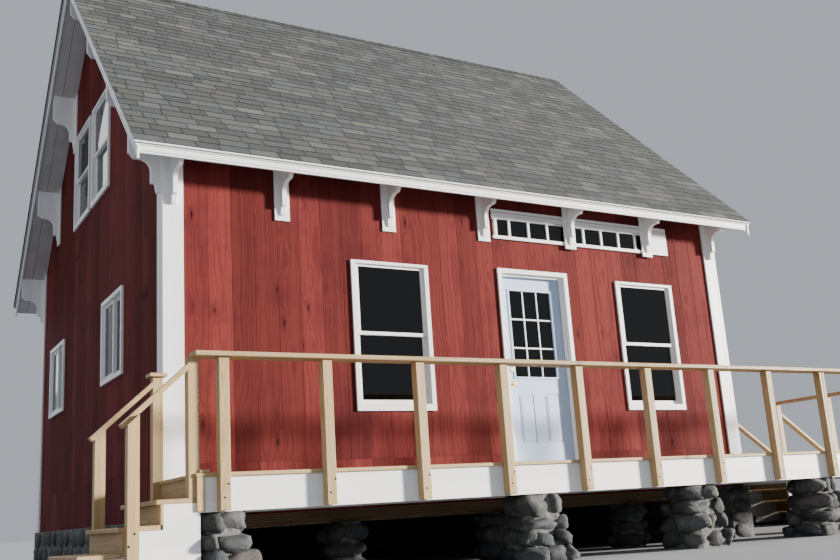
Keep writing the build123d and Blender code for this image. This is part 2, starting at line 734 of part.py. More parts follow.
# Transom lights: one long frame, nine panes, the first cut short, and a blank panel at the right
light_h = TRANSOM_H - TRANSOM_HEAD_H - TRANSOM_FOOT_H
light_z = TRANSOM_FOOT + TRANSOM_FOOT_H + light_h / 2
lights_w = TRANSOM_PANES * TRANSOM_PITCH
lights_right = TRANSOM_RIGHT - TRANSOM_POST - TRANSOM_BLANK
lights_x = lights_right - lights_w / 2
transom_x = (TRANSOM_LEFT + TRANSOM_RIGHT) / 2
with BuildPart() as transom_frame:
    with Locations((transom_x, FRONT, (TRANSOM_FOOT + TRANSOM_HEAD) / 2)):
        Box(TRANSOM_W, FRAME_PROUD, TRANSOM_H, align=(Align.CENTER, Align.MAX, Align.CENTER))
        Box(
            TRANSOM_W - 2 * FRAME_LAP,
            FRAME_DEPTH,
            TRANSOM_H - 2 * FRAME_LAP,
            align=(Align.CENTER, Align.MIN, Align.CENTER),
        )
    with Locations((lights_x, FRONT, light_z)):
        with GridLocations(TRANSOM_PITCH, 1, TRANSOM_PANES, 1):
            Box(TRANSOM_PITCH - TRANSOM_BAR, 4 * FRAME_DEPTH, light_h, mode=Mode.SUBTRACT)
    with Locations((TRANSOM_LEFT + FRAME_LAP, FRONT - FRAME_PROUD, light_z)):
        Box(
            TRANSOM_POST - FRAME_LAP,
            FRAME_PROUD + FRAME_DEPTH,
            light_h,
            align=(Align.MIN, Align.MIN, Align.CENTER),
        )
    with Locations((lights_right + TRANSOM_BLANK / 2, FRONT - FRAME_PROUD, light_z)):
        Box(TRANSOM_BLANK, FRAME_PROUD, light_h, mode=Mode.SUBTRACT)
keep(transom_frame.part, "transom_frame")

with BuildPart() as transom_glass:
    with Locations((lights_x, FRONT, light_z)):
        with GridLocations(TRANSOM_PITCH, 1, TRANSOM_PANES, 1):
            Box(TRANSOM_PITCH - TRANSOM_BAR, GLASS_T, light_h)
    with Locations((TRANSOM_LEFT + TRANSOM_POST, FRONT, light_z)):
        Box(
            TRANSOM_PITCH,
            4 * GLASS_T,
            light_h,
            align=(Align.MAX, Align.CENTER, Align.CENTER),
            mode=Mode.SUBTRACT,
        )
keep(transom_glass.part, "transom_glass")

# Door frame: sill, jambs, stops and brick mould
jamb_left = DOOR_LEFT + DOOR_JAMB
jamb_right = DOOR_RIGHT - DOOR_JAMB
jamb_top = DOOR_TOP - DOOR_JAMB
LEAF_IN = FRONT + WALL
LEAF_OUT = LEAF_IN - DOOR_T
with BuildPart() as door_frame:
    with Locations((DOOR_MIDDLE, FRONT, DECK_TOP)):
        Box(
            DOOR_RIGHT - DOOR_LEFT,
            WALL,
            DOOR_TOP - DECK_TOP,
            align=(Align.CENTER, Align.MIN, Align.MIN),
        )
        Box(
            DOOR_OUTER,
            FRAME_PROUD,
            DOOR_HEAD - DECK_TOP,
            align=(Align.CENTER, Align.MAX, Align.MIN),
        )
    with Locations((DOOR_MIDDLE, FRONT + WALL, SILL_TOP)):
        Box(
            jamb_right - jamb_left - 2 * DOOR_STOP,
            2 * WALL + 2 * FRAME_PROUD,
            jamb_top - DOOR_STOP - SILL_TOP,
            align=(Align.CENTER, Align.CENTER, Align.MIN),
            mode=Mode.SUBTRACT,
        )
    with Locations((DOOR_MIDDLE, LEAF_OUT - DOOR_GAP, SILL_TOP)):
        Box(
            jamb_right - jamb_left,
            WALL,
            jamb_top - SILL_TOP,
            align=(Align.CENTER, Align.MIN, Align.MIN),
            mode=Mode.SUBTRACT,
        )
    with Locations((DOOR_MIDDLE, FRONT + DOOR_STEP, SILL_TOP)):
        Box(
            DOOR_RIGHT - DOOR_LEFT - 2 * DOOR_REVEAL,
            WALL,
            DOOR_TOP - DOOR_REVEAL - SILL_TOP,
            align=(Align.CENTER, Align.MAX, Align.MIN),
            mode=Mode.SUBTRACT,
        )
    with Locations((DOOR_MIDDLE, FRONT - FRAME_PROUD, DECK_TOP)):
        Box(
            DOOR_OUTER,
            SILL_OUT,
            SILL_H,
            align=(Align.CENTER, Align.MAX, Align.MIN),
        )
keep(door_frame.part, "door_frame")

# Door leaf: lite over two raised panels, hinges on its right edge
leaf_left = jamb_left + DOOR_GAP
leaf_right = jamb_right - DOOR_GAP
leaf_foot = SILL_TOP + DOOR_LIFT
leaf_top = jamb_top - DOOR_GAP
leaf_w = leaf_right - leaf_left
leaf_middle = (leaf_left + leaf_right) / 2
lite_x = leaf_middle - LITE_LEFT
lite_z = DECK_TOP + LITE_UP + LITE_H / 2
panel_z = DECK_TOP + PANEL_UP + PANEL_H / 2
hinge_x = (leaf_right + jamb_right) / 2
hinge_y = LEAF_IN + HINGE_R + HINGE_CLEAR
with BuildPart() as door_leaf:
    with Locations((leaf_middle, LEAF_OUT, leaf_foot)):
        Box(leaf_w, DOOR_T, leaf_top - leaf_foot, align=(Align.CENTER, Align.MIN, Align.MIN))
    with Locations((lite_x, LEAF_OUT, lite_z)):
        Box(LITE_W + 2 * LITE_RIM, 2 * LITE_PROUD, LITE_H + 2 * LITE_RIM)
        Box(LITE_W, 4 * DOOR_T, LITE_H, mode=Mode.SUBTRACT)
    for side in (-1, 1):
        panel_x = leaf_middle + side * PANEL_PITCH / 2
        with BuildSketch(Plane.XZ.offset(-LEAF_OUT)):
            with Locations((panel_x, panel_z)):
                Rectangle(PANEL_W, PANEL_H)
                Rectangle(PANEL_W - 2 * PANEL_GROOVE, PANEL_H - 2 * PANEL_GROOVE, mode=Mode.SUBTRACT)
        extrude(amount=-PANEL_SINK, mode=Mode.SUBTRACT)
        with BuildSketch(Plane.XZ.offset(-LEAF_OUT - PANEL_SINK)):
            with Locations((panel_x, panel_z)):
                Rectangle(PANEL_W - 2 * PANEL_GROOVE, PANEL_H - 2 * PANEL_GROOVE)
        extrude(amount=PANEL_SINK + PANEL_PROUD, taper=60)
keep(door_leaf.part, "door_leaf")

with BuildPart() as door_glass:
    with Locations((lite_x, (LEAF_OUT + LEAF_IN) / 2, lite_z)):
        Box(LITE_W, GLASS_T, LITE_H)
keep(door_glass.part, "door_glass")

# Lockset: a turned knob with its rose on both faces, and a deadbolt above
knob_neck = KNOB_OUT - ROSE_T - KNOB_R
with BuildPart() as door_lockset:
    for face, out in ((LEAF_OUT, -1), (LEAF_IN, 1)):
        knob = Plane((leaf_left + BACKSET, face, KNOB_Z), x_dir=(1, 0, 0), z_dir=(0, out, 0))
        with BuildSketch(knob):
            Circle(ROSE_R)
        extrude(amount=ROSE_T)
        with BuildSketch(knob.offset(ROSE_T)):
            Circle(KNOB_R / 2)
        extrude(amount=knob_neck)
        with BuildSketch(knob.offset(ROSE_T + knob_neck)):
            Circle(KNOB_R / 2)
        extrude(amount=KNOB_R / 2, taper=-45)
        with BuildSketch(knob.offset(ROSE_T + knob_neck + KNOB_R / 2)):
            Circle(KNOB_R)
        extrude(amount=KNOB_R / 2, taper=25)
        bolt = Plane((leaf_left + BACKSET, face, BOLT_Z), x_dir=(1, 0, 0), z_dir=(0, out, 0))
        with BuildSketch(bolt):
            Circle(ROSE_R)
        extrude(amount=BOLT_OUT, taper=12)
keep(door_lockset.part, "door_lockset")

# Hinges: knuckles and plates, three on the leaf and their plates on the jamb
hinge_heights = [leaf_foot + HINGE_IN, (leaf_foot + leaf_top) / 2, leaf_top - HINGE_IN]
with BuildPart() as door_hinges:
    with Locations(*[(hinge_x, hinge_y, z) for z in hinge_heights]):
        Cylinder(HINGE_R, HINGE_H)
    with Locations(*[(hinge_x - HINGE_PLATE / 2, LEAF_IN + HINGE_T / 2, z) for z in hinge_heights]):
        Box(HINGE_PLATE, HINGE_T, HINGE_H)
keep(door_hinges.part, "door_hinges")

with BuildPart() as jamb_plates:
    plate_left = hinge_x + math.sqrt((HINGE_R + HINGE_CLEAR) ** 2 - (hinge_y - LEAF_IN - HINGE_T) ** 2)
    with Locations(*[(plate_left, LEAF_IN, z) for z in hinge_heights]):
        Box(HINGE_PLATE, HINGE_T, HINGE_H, align=(Align.MIN, Align.MIN, Align.CENTER))
keep(jamb_plates.part, "jamb_plates")

# Deck: along the front and round the right corner; rims and a cross beam, joists, boards along it
deck_w = DECK_RIGHT - DECK_LEFT
wing_w = DECK_RIGHT - HALF_W
wing_depth = WING_REAR - FRONT
from_corner = (Align.MIN, Align.MIN, Align.MIN)
with BuildPart() as deck_rim:
    with Locations((DECK_LEFT, RIM_FACE, RIM_FOOT)):
        Box(deck_w, DECK_OUT, RIM_H, align=from_corner)
    with Locations((HALF_W, FRONT - RIM_T, RIM_FOOT)):
        Box(wing_w, wing_depth + RIM_T, RIM_H, align=from_corner)
    with Locations((DECK_LEFT + RIM_T, RIM_FACE + RIM_T, RIM_FOOT)):
        Box(deck_w - 2 * RIM_T, DECK_OUT - 2 * RIM_T, RIM_H, align=from_corner, mode=Mode.SUBTRACT)
    with Locations((HALF_W + RIM_T, FRONT, RIM_FOOT)):
        Box(wing_w - 2 * RIM_T, wing_depth - RIM_T, RIM_H, align=from_corner, mode=Mode.SUBTRACT)
keep(deck_rim.part, "deck_rim")

with BuildPart() as deck_joists:
    with Locations(((DECK_LEFT + DECK_RIGHT) / 2, RIM_FACE + DECK_OUT / 2, RIM_TOP)):
        with GridLocations((deck_w - 2 * RIM_T) / DECK_JOISTS, 1, DECK_JOISTS - 1, 1):
            Box(
                JOIST_T,
                DECK_OUT - 2 * RIM_T,
                DECK_JOIST_H,
                align=(Align.CENTER, Align.CENTER, Align.MAX),
            )
    with Locations(((HALF_W + DECK_RIGHT) / 2, FRONT, RIM_TOP)):
        with GridLocations((wing_w - 2 * RIM_T) / WING_JOISTS, 1, WING_JOISTS - 1, 1):
            Box(
                JOIST_T,
                wing_depth - RIM_T,
                DECK_JOIST_H,
                align=(Align.CENTER, Align.MIN, Align.MAX),
            )
keep(deck_joists.part, "deck_joists")

# Posts stand outside the rims; the corners of the boards are cut round them
side_first = RIM_FACE + FIRST_POST_IN + DECK_PAST
side_pitch = (END_STAIR + POST / 2 - side_first) / SIDE_BAYS
post_places = [(FIRST_POST + k * BAY, RIM_FACE - POST / 2) for k in range(BAYS + 1)]
post_places += [(DECK_RIGHT + POST / 2, side_first + k * side_pitch) for k in range(SIDE_BAYS)]
post_places += [(FIRST_POST + k * BAY, WING_REAR + POST / 2) for k in range(FRONT_BAYS, BAYS + 1)]
stair_post_places = [
    (DECK_LEFT - POST / 2, RIM_FACE + POST / 2),
    (DECK_LEFT - POST / 2, STAIR_REAR - POST / 2),
    (DECK_RIGHT + POST / 2, END_STAIR + POST / 2),
    (DECK_RIGHT + POST / 2, WING_REAR - POST / 2),
]
row_pitch = BOARD_W + DECK_BOARD_GAP
with BuildPart() as deck_boards:
    with Locations(((DECK_LEFT + DECK_RIGHT) / 2, FRONT - DECK_DEPTH / 2, RIM_TOP)):
        with GridLocations(1, row_pitch, 1, DECK_BOARDS):
            Box(
                deck_w + 2 * DECK_END,
                BOARD_W,
                DECK_BOARD,
                align=(Align.CENTER, Align.CENTER, Align.MIN),
            )
    with Locations(*[(HALF_W + DECK_BOARD_GAP, FRONT + k * row_pitch, RIM_TOP) for k in range(WING_BOARDS)]):
        with Locations((0, DECK_BOARD_GAP, 0)):
            Box(wing_w + DECK_END - DECK_BOARD_GAP, BOARD_W, DECK_BOARD, align=from_corner)
    with Locations(*[(x, y, DECK_TOP) for x, y in post_places + stair_post_places]):
        Box(POST, POST, 4 * DECK_BOARD, mode=Mode.SUBTRACT)
keep(deck_boards.part, "deck_boards")

# Rail: posts bolted outside the rims, under a flat cap along the front and side, and one behind
post_foot = RIM_FOOT + POST_LIFT
with BuildPart() as deck_posts:
    with BuildSketch(Plane.XY.offset(post_foot)):
        with Locations(*post_places):
            Rectangle(POST, POST)
    extrude(amount=RAIL_UNDER - post_foot)
keep(deck_posts.part, "deck_posts")

cap_out = POST + RAIL_OUT  # outer edge of the cap past the rims
rail_front = RIM_FACE - cap_out
rail_left = DECK_LEFT - RAIL_END
rail_right = DECK_RIGHT + cap_out
side_rail_end = END_STAIR + RAIL_END
with BuildPart() as rail_cap:
    with BuildSketch(Plane.XY.offset(RAIL_UNDER)):
        with BuildLine():
            Polyline(
                (rail_left, rail_front),
                (rail_right, rail_front),
                (rail_right, side_rail_end),
                (rail_right - RAIL_W, side_rail_end),
                (rail_right - RAIL_W, rail_front + RAIL_W),
                (rail_left, rail_front + RAIL_W),
                close=True,
            )
        make_face()
    extrude(amount=RAIL_T)
keep(rail_cap.part, "rail_cap")

rear_cap_right = DECK_RIGHT - RIM_PAST_POST
with BuildPart() as rear_rail_cap:
    with Locations((HALF_W + DECK_BOARD_GAP, WING_REAR + cap_out, RAIL_UNDER)):
        Box(
            rear_cap_right - HALF_W - DECK_BOARD_GAP,
            RAIL_W,
            RAIL_T,
            align=(Align.MIN, Align.MAX, Align.MIN),
        )
keep(rear_rail_cap.part, "rear_rail_cap")

# Two stairs, one at the deck's left end and one down from the wing. Each is drawn by its distance
# out from the rim: the rim's face, the way out along X, the near edge and the width
STAIRS = (
    (DECK_LEFT, -1, RIM_FACE, STAIR_REAR - RIM_FACE),
    (DECK_RIGHT, 1, END_STAIR, WING_REAR - END_STAIR),
)
riser_faces = [RISER_T + GOING * k for k in range(STEPS)]
tread_tops = [DECK_TOP - RISER * k for k in range(STEPS + 1)]
with BuildPart() as stair_treads:
    for rim, way, near, width in STAIRS:
        for k in range(1, STEPS):
            middle = rim + way * (riser_faces[k] + STAIR_NOSING / 2 - GOING / 2)
            with Locations((middle, near + width / 2, tread_tops[k])):
                Box(
                    GOING + STAIR_NOSING,
                    width,
                    TREAD_T,
                    align=(Align.CENTER, Align.CENTER, Align.MAX),
                )
        for y in (near + POST / 2, near + width - POST / 2):
            with Locations((rim + way * RISER_T / 2, y, tread_tops[1])):
                Box(RISER_T, POST, TREAD_T, align=(Align.CENTER, Align.CENTER, Align.MAX))
keep(stair_treads.part, "stair_treads")

with BuildPart() as stair_risers:
    for rim, way, near, width in STAIRS:
        for k in range(STEPS):
            head = RIM_TOP if k == 0 else tread_tops[k] - TREAD_T
            with Locations((rim + way * (riser_faces[k] - RISER_T / 2), near + width / 2, tread_tops[k + 1])):
                Box(
                    RISER_T,
                    width if k else width - 2 * POST,
                    head - tread_tops[k + 1],
                    align=(Align.CENTER, Align.CENTER, Align.MIN),
                )
keep(stair_risers.part, "stair_risers")

string_outline = [(0, SLEEPER), (0, tread_tops[1] - TREAD_T)]
for k in range(1, STEPS):
    last = k == STEPS - 1
    string_outline.append((riser_faces[k] - RISER_T, tread_tops[k] - TREAD_T))
    string_outline.append((riser_faces[k] - RISER_T, SLEEPER if last else tread_tops[k + 1] - TREAD_T))
with BuildPart() as stair_strings:
    for rim, way, near, width in STAIRS:
        for y in (near, near + width - STRINGER_T):
            with BuildSketch(Plane((rim, y, 0), x_dir=(way, 0, 0), z_dir=(0, -way, 0))):
                with BuildLine():
                    Polyline(*string_outline, close=True)
                make_face()
            extrude(amount=-way * STRINGER_T)
keep(stair_strings.part, "stair_strings")

sleeper_len = riser_faces[-1] - RISER_T
with BuildPart() as stair_sleepers:
    for rim, way, near, width in STAIRS:
        for y in (near, near + width - POST):
            with Locations((rim + way * sleeper_len / 2, y, 0)):
                Box(sleeper_len, POST, SLEEPER, align=(Align.CENTER, Align.MIN, Align.MIN))
keep(stair_sleepers.part, "stair_sleepers")


def rail_side(top, fall, run):
    """Side of a sloping rail from its top post outward, cut square at its low end."""
    plumb = STAIR_RAIL_T * math.sqrt(1 + fall**2)
    square = plumb * fall / (1 + fall**2)
    low = top - run * fall
    with BuildSketch() as side_view:
        with BuildLine():
            Polyline(
                (POST, top),
                (POST + run, low),
                (POST + run - square, low + square * fall - plumb),
                (POST, top - plumb),
                close=True,
            )
        make_face()
    return side_view.sketch


def low_post_side(start, foot, top, fall):
    """Side of a stair's low post, cut at its head to the slope of the rail over it."""
    plumb = STAIR_RAIL_T * math.sqrt(1 + fall**2)
    heads = [(x, top - plumb - (x - POST) * fall) for x in (start + POST, start)]
    with BuildSketch() as side_view:
        with BuildLine():
            Polyline((start, foot), (start + POST, foot), *heads, close=True)
        make_face()
    return side_view.sketch


# Each rail: its stair, its front face along Y, its height, fall and run, and its low post's start,
# front face and foot
first_top = DECK_TOP + STAIR_RAIL_UP
second_top = DECK_TOP + END_RAIL_UP
first_fall = (first_top, STAIR_RAIL_FALL, STAIR_RAIL_RUN)
second_fall = (second_top, END_RAIL_FALL, END_RAIL_RUN)
first_low = LOW_POST
STAIR_RAILS = (
    (DECK_LEFT, -1, RIM_FACE + STAIR_RAIL_IN - POST, *first_fall, first_low, RIM_FACE - POST, SLEEPER),
    (DECK_LEFT, -1, STAIR_REAR - POST, *first_fall, first_low, STAIR_REAR - POST, tread_tops[2]),
    (DECK_RIGHT, 1, END_STAIR, *second_fall, END_LOW_POST, END_STAIR, tread_tops[4]),
    (DECK_RIGHT, 1, WING_REAR - POST, *second_fall, END_LOW_POST, WING_REAR - POST, tread_tops[4]),
)
with BuildPart() as stair_posts:
    with BuildSketch(Plane.XY.offset(tread_tops[1])):
        with Locations(*stair_post_places):
            Rectangle(POST, POST)
    extrude(amount=RAIL_UNDER - tread_tops[1])
    newels = [(*stair_post_places[k], RAIL_UNDER) for k in (1, 3)]
    with Locations(*newels):
        Box(
            NEWEL_CAP,
            NEWEL_CAP,
            NEWEL_CAP_T,
            align=(Align.CENTER, Align.CENTER, Align.MIN),
        )
    for rim, way, y, top, fall, run, start, low_y, foot in STAIR_RAILS:
        with BuildSketch(Plane((rim, low_y, 0), x_dir=(way, 0, 0), z_dir=(0, -way, 0))):
            add(low_post_side(start, foot, top, fall))
        extrude(amount=-way * POST)
keep(stair_posts.part, "stair_posts")

with BuildPart() as stair_rails:
    for rim, way, y, top, fall, run, start, low_y, foot in STAIR_RAILS:
        with BuildSketch(Plane((rim, y, 0), x_dir=(way, 0, 0), z_dir=(0, -way, 0))):
            add(rail_side(top, fall, run))
        extrude(amount=-way * POST)
keep(stair_rails.part, "stair_rails")

# Rubble piers under the deck's front and the rear of its wing, each wider at its foot
pier_y = RIM_FACE - PIER_OUT + PIER_HEAD / 2
first_x = DECK_LEFT + FIRST_PIER / 2
pier_batter = math.degrees(math.atan(PIER_FLARE / RIM_FOOT))
with BuildPart() as deck_piers:
    piers = [(first_x, pier_y, FIRST_PIER)]
    piers += [(HALF_W - x, pier_y, w) for x, w in zip(PIERS_IN, PIER_WIDTHS)]
    for x in (HALF_W + WING_PIER_IN, DECK_RIGHT - WING_PIER_IN):
        piers.append((x, WING_REAR + PIER_OUT - PIER_HEAD / 2, PIER_HEAD))
    for x, y, head in piers:
        with BuildSketch():
            with Locations((x, y)):
                Rectangle(head + 2 * PIER_FLARE, PIER_HEAD + 2 * PIER_FLARE)
        extrude(amount=RIM_FOOT, taper=pier_batter)
    # the first pier is plumb on the side of the stair
    with Locations((DECK_LEFT, pier_y, RIM_FOOT / 2)):
        Box(FIRST_PIER, PIER_HEAD + 2 * PIER_FLARE, RIM_FOOT, align=(Align.MAX, Align.CENTER, Align.CENTER),
            mode=Mode.SUBTRACT)
keep(deck_piers.part, "deck_piers")
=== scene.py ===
import math
import random

import bmesh
import bpy
import numpy as np
from mathutils import Matrix, Vector, noise


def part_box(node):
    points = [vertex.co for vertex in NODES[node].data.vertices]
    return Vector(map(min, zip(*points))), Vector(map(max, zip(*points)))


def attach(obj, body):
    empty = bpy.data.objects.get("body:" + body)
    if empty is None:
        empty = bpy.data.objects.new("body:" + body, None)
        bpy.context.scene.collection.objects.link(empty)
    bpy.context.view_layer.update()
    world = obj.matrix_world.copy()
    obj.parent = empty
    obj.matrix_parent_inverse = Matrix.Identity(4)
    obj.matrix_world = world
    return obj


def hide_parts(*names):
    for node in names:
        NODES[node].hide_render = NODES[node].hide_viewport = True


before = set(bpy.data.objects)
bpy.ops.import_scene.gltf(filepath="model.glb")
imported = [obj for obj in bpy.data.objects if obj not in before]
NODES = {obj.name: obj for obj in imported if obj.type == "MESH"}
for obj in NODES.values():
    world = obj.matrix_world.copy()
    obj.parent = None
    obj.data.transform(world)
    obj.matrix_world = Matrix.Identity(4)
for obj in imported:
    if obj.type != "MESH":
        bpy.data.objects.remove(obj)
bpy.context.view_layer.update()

SKIN = 0.003  # boards stand out of the wall


# Shading helpers
class Shader:
    """A principled material built from nodes, with short names for the common ones."""

    def __init__(self, name, **fixed):
        self.mat = bpy.data.materials.new(name)
        self.mat.use_nodes = True
        self.tree = self.mat.node_tree
        self.base = self.tree.nodes["Principled BSDF"]
        for key, value in fixed.items():
            self.base.inputs[key.replace("_", " ")].default_value = value

    def add(self, kind, inputs=None, **settings):
        made = self.tree.nodes.new(kind)
        for key, value in settings.items():
            setattr(made, key, value)
        for key, value in (inputs or {}).items():
            self.join(value, made.inputs[key])
        return made

    def join(self, value, socket):
        if isinstance(value, bpy.types.NodeSocket):
            self.tree.links.new(value, socket)
        else:
            socket.default_value = value

    def math(self, how, a, b=0.0, c=0.0, clamp=False):
        return self.add("ShaderNodeMath", {0: a, 1: b, 2: c}, operation=how, use_clamp=clamp).outputs[0]

    def mix(self, share, a, b, how="MIX"):
        made = self.add("ShaderNodeMix", {0: share, 6: a, 7: b}, data_type="RGBA", blend_type=how)
        return made.outputs[2]

    def fit(self, value, low, high, to_low=0.0, to_high=1.0, smooth=True):
        kind = "SMOOTHSTEP" if smooth else "LINEAR"
        made = self.add(
            "ShaderNodeMapRange",
            {0: value, 1: low, 2: high, 3: to_low, 4: to_high},
            interpolation_type=kind,
        )
        return made.outputs[0]

    def scaled(self, where, by):
        made = self.add("ShaderNodeVectorMath", {0: where, 1: by}, operation="MULTIPLY")
        return made.outputs[0]

    def noise(self, where, scale=1.0, detail=3.0, rough=0.5, warp=0.0):
        made = self.add(
            "ShaderNodeTexNoise",
            {"Vector": where, "Scale": scale, "Detail": detail, "Roughness": rough, "Distortion": warp},
        )
        return made.outputs["Fac"]

    def cells(self, where, scale=1.0, feature="F1", out="Distance", random_=1.0):
        made = self.add(
            "ShaderNodeTexVoronoi",
            {"Vector": where, "Scale": scale, "Randomness": random_},
            feature=feature,
        )
        return made.outputs[out]

    def attribute(self, name, out="Vector"):
        return self.add("ShaderNodeAttribute", attribute_name=name).outputs[out]

    def place(self):
        return self.add("ShaderNodeTexCoord").outputs["Object"]

    def parts(self, vector):
        return self.add("ShaderNodeSeparateXYZ", {0: vector}).outputs

    def vector(self, x, y, z):
        return self.add("ShaderNodeCombineXYZ", {0: x, 1: y, 2: z}).outputs[0]

    def dim(self, colour, level):
        """A colour made darker or lighter by a level that varies over the piece."""
        grey = self.add("ShaderNodeCombineColor", {0: level, 1: level, 2: level}).outputs[0]
        return self.mix(1.0, colour, grey, "MULTIPLY")

    def bump(self, height, depth, strength=1.0):
        inputs = {"Height": height, "Distance": depth, "Strength": strength}
        return self.add("ShaderNodeBump", inputs).outputs[0]

    def finish(self, colour=None, rough=None, normal=None):
        for value, key in ((colour, "Base Color"), (rough, "Roughness"), (normal, "Normal")):
            if value is not None:
                self.join(value, self.base.inputs[key])
        return self.mat


def rgb(red, green, blue):
    """A display colour, 0-255, as linear light."""

    def linear(c):
        c /= 255
        return c / 12.92 if c <= 0.04045 else ((c + 0.055) / 1.055) ** 2.4

    return (linear(red), linear(green), linear(blue), 1.0)


def wood(name, light, dark, knot, ring=0.011, figure=0.5, fibre=0.35, knots=0.5, spread=0.25,
         rough=(0.5, 0.75), depth=0.0006, along=None, weather=None, size=0.075, shine=0.4):
    """Sawn wood: growth rings round a wandering pith, fibres, knots and a tone for each board.

    Pieces made here carry their own grain coordinates; for a CAD node, along is its grain axis.
    weather is (colour, share) of the grey patches, and size is how wide a knot is.
    """
    s = Shader(name, Specular_IOR_Level=shine)
    if along is None:
        where = s.attribute("grain")
        tone = s.parts(s.attribute("tone", "Color"))
    else:
        x, y, z = s.parts(s.place())[:3]
        order = {"x": (x, y, z), "y": (y, x, z), "z": (z, x, y)}[along]
        where = s.vector(order[0], order[1], s.math("ADD", order[2], 0.07))
        block = s.noise(s.scaled(where, (0.05, 3.0, 3.0)), detail=1.0)
        tone = (block, s.noise(s.scaled(where, (0.05, 2.0, 2.0)), detail=0.0), block)
    x, y, z = s.parts(where)[:3]
    wander = s.noise(s.vector(s.math("MULTIPLY", x, 1.3), s.math("MULTIPLY", y, 3.0), z), detail=2.0)
    wander = s.math("MULTIPLY_ADD", wander, 0.11, -0.055)
    knot_gap = s.cells(s.vector(s.math("MULTIPLY", x, 1.9), s.math("MULTIPLY", y, 6.5), 0.0), 1.0)
    swell = s.fit(knot_gap, 0.42, 0.0, 0.0, 0.045)
    pith = s.math("SQRT", s.math("ADD", s.math("POWER", y, 2.0), s.math("POWER", z, 2.0)))
    radius = s.math("ADD", s.math("ADD", pith, wander), swell)
    rings = s.math("SINE", s.math("MULTIPLY", radius, 2 * math.pi / ring))
    rings = s.fit(rings, -0.6, 1.0)
    hair = s.noise(s.scaled(where, (7.0, 420.0, 420.0)), detail=2.0)
    streak = s.noise(s.scaled(where, (0.9, 34.0, 34.0)), detail=3.0)
    share = s.math("MULTIPLY", rings, figure)
    share = s.math("ADD", share, s.fit(hair, 0.35, 0.7, 0.0, fibre * 0.5))
    share = s.math("ADD", share, s.fit(streak, 0.4, 0.72, 0.0, fibre), clamp=True)
    colour = s.mix(share, light, dark)
    core = s.math("MULTIPLY", s.fit(knot_gap, size, size * 0.4), knots)
    halo = s.math("MULTIPLY", s.fit(knot_gap, size * 2.7, size * 0.6, 0.0, 0.5), knots)
    colour = s.mix(halo, colour, dark)
    colour = s.mix(core, colour, knot)
    level = s.fit(tone[0], 0.0, 1.0, 1.0 - spread, 1.0 + spread * 0.45, smooth=False)
    colour = s.dim(colour, level)
    if weather:
        patch = s.noise(s.place(), 1.7, 4.0, 0.6)
        colour = s.mix(s.fit(patch, 0.42, 0.75, 0.0, weather[1]), colour, weather[0])
    height = s.math("ADD", s.math("MULTIPLY", rings, -0.35), s.math("MULTIPLY", hair, 0.8))
    height = s.math("ADD", height, s.math("MULTIPLY", core, 1.2))
    gloss = s.fit(share, 0.0, 1.0, rough[0], rough[1], smooth=False)
    return s.finish(colour, gloss, s.bump(height, depth, 0.7))


def paint(name, colour, shade, rough=0.42, along="z", grain=0.0004, dirt=0.12, soil=(110, 104, 92), own=False,
          joints=None):
    """Paint on wood: brush marks along the piece, faint grain under the coat and dirt that gathers.

    joints(shader, x, y, z) gives the distance in metres from the nearest dark line: open joints on the
    soffits, painted shadow lines on the fascias, barge boards and transom head.
    """
    s = Shader(name)
    if own:
        where = s.attribute("grain")
    else:
        x, y, z = s.parts(s.place())[:3]
        where = s.vector(*{"x": (x, y, z), "y": (y, x, z), "z": (z, x, y)}[along])
    brush = s.noise(s.scaled(where, (3.0, 260.0, 260.0)), detail=2.0)
    broad = s.noise(s.scaled(where, (0.5, 5.0, 5.0)), detail=3.0)
    coat = s.mix(s.fit(broad, 0.3, 0.7), colour, shade)
    coat = s.mix(s.fit(brush, 0.45, 0.8, 0.0, 0.35), coat, shade)
    spots = s.noise(s.place(), 9.0, 6.0, 0.65)
    coat = s.mix(s.fit(spots, 0.56, 0.8, 0.0, dirt), coat, rgb(*soil))
    # Dark lines: open joints on the soffits, painted shadow lines on the fascias, barge boards and transom
    # head.
    if joints:
        line_distance = joints(s, *s.parts(s.place())[:3])
        coat = s.mix(s.fit(line_distance, 0.0042, 0.0018, 0.0, 0.85), coat, rgb(58, 58, 60))
    gloss = s.fit(broad, 0.3, 0.7, rough - 0.05, rough + 0.1)
    return s.finish(coat, gloss, s.bump(brush, grain, 0.6))


def near(s, value, *places):
    """Distance of a value from the nearest of some places."""
    best = None
    for place in places:
        far = s.math("ABSOLUTE", s.math("SUBTRACT", value, place))
        best = far if best is None else s.math("MINIMUM", best, far)
    return best


# Lines painted dark on trim, in metres: open joints on the soffits, painted shadow lines on the fascias,
# barge boards and transom head
SOFFIT_SEAM_X, SOFFIT_SEAM_Y = 3.86, 3.42  # out from the middle
FASCIA_SHADOW_LINES = (4.0165, 3.930)  # heights
BARGE_SHADOW_LINES = (7.578, 7.482)  # heights at the ridge
TRANSOM_SHADE_LINES = (3.866, 3.8)  # heights


def soffit_joints(s, x, y, z):
    """Soffit boards run with the barge boards and the fascias."""
    side = near(s, s.math("ABSOLUTE", x), SOFFIT_SEAM_X)
    return s.math("MINIMUM", side, near(s, s.math("ABSOLUTE", y), SOFFIT_SEAM_Y))


def fascia_shadow_lines(s, x, y, z):
    """Painted shadow lines at the foot of the upper strip and at a fine bead under it."""
    return near(s, z, *FASCIA_SHADOW_LINES)


def barge_shadow_lines(s, x, y, z):
    """The same two painted shadow lines, running up with the rakes."""
    return near(s, s.math("ADD", z, s.math("ABSOLUTE", y)), *BARGE_SHADOW_LINES)


def transom_shade_lines(s, x, y, z):
    """Painted shadow lines standing for fine mouldings along the head rail of the transom lights."""
    return near(s, z, *TRANSOM_SHADE_LINES)


